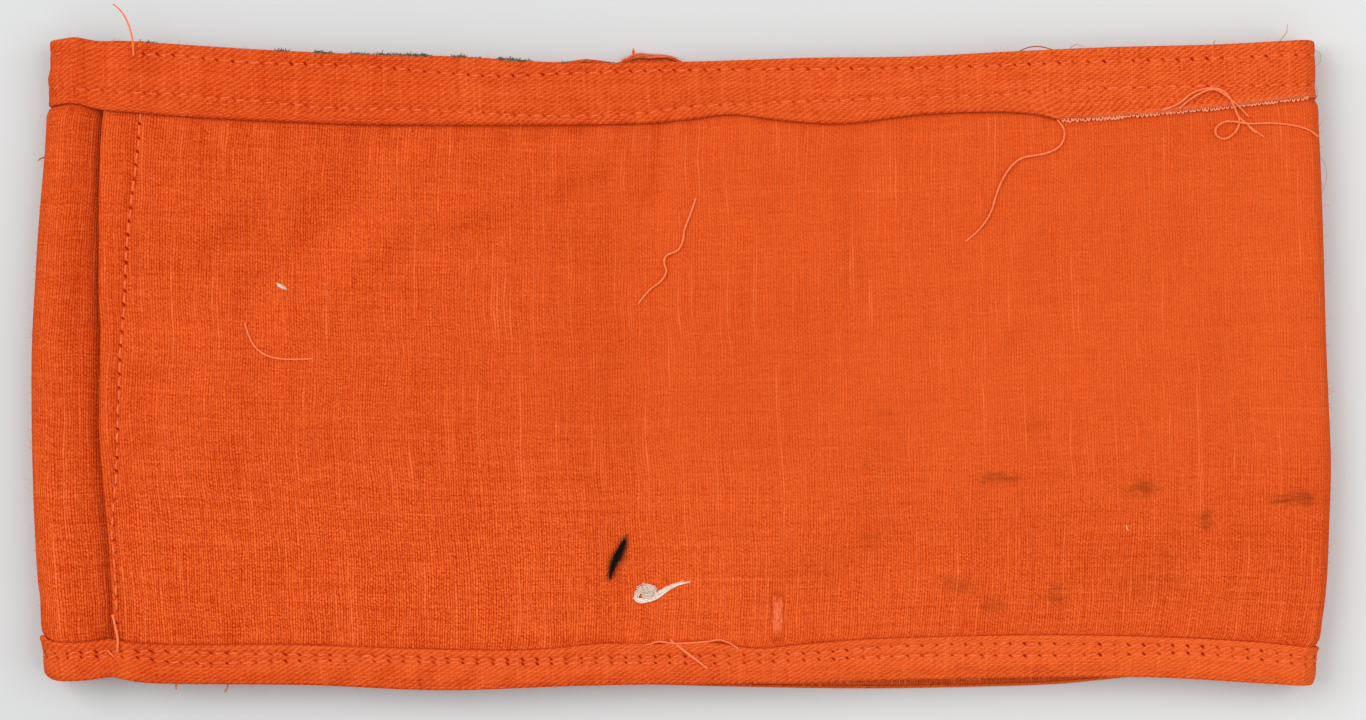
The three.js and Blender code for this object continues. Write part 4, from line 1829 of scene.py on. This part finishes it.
TUFTS = (
    Tuft("black_tuft", BLACK_FIBRE, ((-8.7, -27.6), (-9.7, -29.4), (-10.6, -31.4), (-11.2, -33.9)),
         70, 0.15, 0.032, 0.14, 21),
    Tuft("black_tuft_stray", BLACK_FIBRE, ((-8.3, -27.0), (-9.5, -29.4), (-10.6, -31.4), (-11.3, -34.4)),
         110, 0.24, 0.016, 0.42, 29),
    Tuft("white_lint", WHITE_LINT,
         ((-7.2, -36.7), (-6.5, -35.6), (-5.2, -35.0), (-4.1, -35.5), (-4.9, -36.5), (-6.2, -36.2),
          (-5.4, -35.8)),
         95, 0.25, 0.032, 0.27, 22),
    Tuft("white_lint_thread", WHITE_LINT,
         ((-7.2, -36.2), (-7.3, -36.9), (-6.5, -37.4), (-5.2, -37.2), (-3.6, -36.5), (-2.2, -35.3),
          (-0.4, -34.5), (1.7, -34.2)),
         46, 0.19, 0.080, 0.05, 23),
    Tuft("pale_fleck", WHITE_LINT, ((-63.7, 12.9), (-62.8, 12.2), (-62.0, 11.8)), 9, 0.10, 0.045, 0.07, 24),
    Tuft("pale_fleck_small", WHITE_LINT, ((70.2, -25.2), (70.5, -26.2)), 5, 0.06, 0.035, 0.05, 25),
    Tuft("red_fleck", SEWING_THREAD, ((-62.4, 10.9), (-61.8, 10.3), (-61.4, 10.2)), 10, 0.08, 0.05, 0.07, 26),
    Tuft("edge_knot", LOOSE_THREAD,
         ((-9.4, 48.2), (-8.2, 48.9), (-6.6, 49.3), (-5.2, 49.1), (-2.6, 49.2), (-0.4, 48.7)),
         26, 0.16, 0.05, 0.10, 27, level=1.6),
    Tuft("edge_knot_end", LOOSE_THREAD, ((-7.6, 49.0), (-7.4, 49.7), (-7.5, 50.3)),
         12, 0.12, 0.05, 0.08, 28, level=1.7),
)


@dataclass
class EdgeFuzz:
    """Fine fibres that stand off the armband's edges, and the olive ones caught on the top edge."""

    count: int = 420
    half_length: float = 98.0
    near_edge_height: float = 8.05
    olive_radius: float = 0.10

    def build(self) -> None:
        """Makes both kinds of fuzz and dresses them."""
        self._own_fuzz()
        self._olive_fuzz()

    def _own_fuzz(self) -> None:
        """Short orange fibres along both edges and both folds."""
        draws = random.Random(31)
        strands = []
        for _ in range(self.count):
            x = draws.uniform(-self.half_length, self.half_length)
            at_top = draws.random() < 0.5
            y = NEAR_TOP.at(x) if at_top else NEAR_BOTTOM.at(x)
            outward = 1.0 if at_top else -1.0
            away = Vector((draws.gauss(0, 0.5), outward, draws.gauss(0, 0.5))).normalized()
            foot = Vector((x, y, self.near_edge_height))
            strands.append(self._hair(foot, away, draws.uniform(0.25, 0.9), draws))
        for _ in range(self.count // 3):
            y = draws.uniform(-42.0, 39.0)
            on_left = draws.random() < 0.5
            x = (LEFT_SIDE.at(y) - 0.2) if on_left else (RIGHT_SIDE.at(y) + 0.2)
            outward = -1.0 if on_left else 1.0
            away = Vector((outward, draws.gauss(0, 0.6), draws.gauss(0, 0.4))).normalized()
            foot = Vector((x, y, draws.uniform(2.5, 5.5)))
            strands.append(self._hair(foot, away, draws.uniform(0.3, 1.1), draws))
        piece = strand_mesh("edge_fuzz", strands, smooth=True, sides=0)
        piece.data.materials.append(LOOSE_THREAD.material())
        keep(piece)

    def _olive_fuzz(self) -> None:
        """Olive fibres in clumps along the left part of the near layer's top edge."""
        draws = random.Random(32)
        strands = []
        for start, end, count in OLIVE_CLUMPS:
            for _ in range(count):
                x = draws.uniform(start, end)
                foot = Vector((x, NEAR_TOP.at(x) - 0.05, draws.uniform(7.6, 8.3)))
                away = Vector((draws.gauss(0, 1.8), 1.0, draws.gauss(0, 0.5))).normalized()
                length = draws.uniform(0.30, 0.70)
                strands.append(self._hair(foot, away, length, draws, self.olive_radius))
        piece = strand_mesh("olive_fuzz", strands, smooth=True, sides=0)
        piece.data.materials.append(OLIVE_FUZZ.material())
        keep(piece)

    @staticmethod
    def _hair(
        foot: Vector, away: Vector, length: float, draws: random.Random, radius: float = 0.022
    ) -> Strand:
        """One curved fibre.

        Args:
            foot: where it leaves the cloth.
            away: the direction in which it starts.
            length: its length.
            draws: the random draws that bend it.
            radius: its radius at the foot.

        Returns:
            The fibre, which starts a little inside the cloth.
        """
        bend = Vector((draws.gauss(0, 0.35), draws.gauss(0, 0.2), draws.gauss(0, 0.35))) * length
        shares = (-0.15, 0.3, 0.65, 1.0)
        points = [foot + away * length * share + bend * share * share for share in shares]
        return Strand(points, radius, radius * 0.5)


class FineHair(NamedTuple):
    """A single hair that stands off an edge: its course from above, its height and its radius."""

    places: tuple[Place, ...]
    height: float
    radius: float


FINE_HAIRS = (
    FineHair(((52.8, 49.0), (54.6, 49.9), (56.6, 50.1), (58.6, 49.6), (60.0, 49.2)), 7.9, 0.10),
    FineHair(((61.0, 49.4), (62.2, 50.4), (63.8, 50.0)), 7.9, 0.04),
    FineHair(((84.3, 49.6), (84.0, 50.5), (84.2, 51.1)), 7.9, 0.07),
    FineHair(((94.2, 50.5), (94.9, 51.6), (95.5, 52.4), (95.6, 53.6)), 7.9, 0.05),
    FineHair(((99.6, 50.0), (101.1, 49.4), (101.3, 48.0), (100.2, 46.8)), 5.0, 0.03),
    FineHair(((99.8, 41.2), (100.7, 42.4), (100.7, 43.8), (100.0, 44.9)), 5.0, 0.03),
    FineHair(((101.0, 33.4), (102.1, 31.4), (102.2, 29.0), (101.3, 26.6)), 5.0, 0.03),
    FineHair(((-100.4, 32.9), (-101.3, 32.6), (-101.7, 32.2)), 5.0, 0.12),
    FineHair(((-71.2, -50.0), (-71.4, -50.9), (-71.8, -51.6)), 7.9, 0.14),
    FineHair(((-79.2, -49.9), (-79.5, -50.7), (-79.4, -51.2)), 7.9, 0.14),
)


@dataclass
class FineHairs:
    """The single hairs along the edges."""

    def build(self) -> bpy.types.Object:
        """Makes the hairs and dresses them."""
        strands = []
        for hair in FINE_HAIRS:
            points = [Vector((x, y, hair.height)) for x, y in hair.places]
            strands.append(Strand(passing_through(points), hair.radius, hair.radius * 0.6))
        piece = strand_mesh("fine_hairs", strands, smooth=True)
        piece.data.materials.append(BROWN_HAIR.material())
        keep(piece)
        return piece


class OliveClump(NamedTuple):
    """A stretch of the top edge with olive fibres on it, and how many."""

    start: float
    end: float
    count: int


OLIVE_CLUMPS = (
    OliveClump(-85.2, -83.0, 45),
    OliveClump(-64.0, -62.0, 42),
    OliveClump(-57.6, -54.8, 75),
    OliveClump(-52.5, -47.5, 70),
    OliveClump(-47.5, -39.6, 300),
    OliveClump(-35.9, -33.7, 52),
    OliveClump(-32.7, -31.5, 18),
    OliveClump(-29.0, -25.0, 150),
    OliveClump(-24.8, -23.8, 22),
    OliveClump(-19.4, -17.9, 18),
    OliveClump(-12.2, -10.4, 16),
)


@dataclass
class Studio:
    """The floor, the lights and the camera over the armband."""

    lens: float = 100.0
    sensor: float = 36.0
    pixel: float = 0.1575
    frame_width: int = 1366
    level: float = 8.0
    middle: Place = (0.39, 0.71)
    floor_size: float = 3.0

    def build(self) -> None:
        """Makes the camera first, then the floor and the lights."""
        self._camera()
        self._floor()
        self._lamp("key", (-0.78, 0.34, 1.08), size=0.9, power=11.1)
        self._lamp("fill", (0.75, 0.05, 1.05), size=1.0, power=6.7)
        self._world()
        bpy.context.scene.view_settings.view_transform = "Standard"

    def _camera(self) -> None:
        """A camera straight above, whose frame is as wide as the photograph's."""
        width = self.pixel * self.frame_width
        height = width * self.lens / self.sensor + self.level
        place = (self.middle[0] * MM, self.middle[1] * MM, height * MM)
        bpy.ops.object.camera_add(location=place, rotation=(0, 0, 0))
        camera = bpy.context.object
        camera.name = "camera_above"
        camera.data.lens = self.lens
        camera.data.sensor_width = self.sensor
        bpy.context.scene.camera = camera

    def _floor(self) -> None:
        """A pale floor, with painted light: it grows paler from left to right."""
        deselect()
        bpy.ops.mesh.primitive_plane_add(size=self.floor_size, location=(0, 0, 0))
        floor = bpy.context.object
        floor.name = "floor"
        sheet = NodeSheet("pale floor")
        x, y, _ = sheet.place_in_mm()
        cloud = sheet.noise(sheet.vector(x * 0.006, y * 0.006), detail=3.0) - 0.5
        # Painted light: the floor is darker on the left and paler on the right.
        tone = 0.5 + cloud * 0.4 + (x.step(-170.0, 170.0) - 0.5) * 0.7
        floor.data.materials.append(sheet.surface({
            "Base Color": sheet.mix(tone, (0.535, 0.548, 0.552), (0.648, 0.662, 0.656)),
            "Roughness": 0.55,
        }))

    @staticmethod
    def _lamp(name: str, place: tuple[float, float, float], size: float, power: float) -> None:
        """A soft square lamp that faces the armband.

        Args:
            name: the lamp's name.
            place: where it stands, in metres.
            size: the length of its side, in metres.
            power: its power, in watts.
        """
        facing = Vector(place).to_track_quat("Z", "Y").to_euler()
        bpy.ops.object.light_add(type="AREA", location=place, rotation=facing)
        lamp = bpy.context.object
        lamp.name = name
        lamp.data.size = size
        lamp.data.energy = power

    @staticmethod
    def _world() -> None:
        """Even light from all round."""
        world = bpy.data.worlds.new("soft surround")
        world.use_nodes = True
        background = world.node_tree.nodes["Background"]
        background.inputs["Color"].default_value = (1.0, 1.0, 1.0, 1.0)
        background.inputs["Strength"].default_value = 0.60
        bpy.context.scene.world = world


def main() -> None:
    """Builds the studio and every piece of the armband in turn."""
    logging.basicConfig(level=logging.INFO, format="%(name)s: %(message)s")
    Studio().build()
    band = BandCloth().build()
    hems = [hem.build() for hem in (TOP_HEM, BOTTOM_HEM)]
    for hem in (TOP_HEM, BOTTOM_HEM):
        StitchRows(hem).build()
    JoinStitches().build()
    SelvedgeLoops().build()
    LooseThreads().build()
    for tuft in TUFTS:
        tuft.build()
    EdgeFuzz().build()
    FineHairs().build()


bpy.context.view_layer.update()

if __name__ == "__main__":
    main()
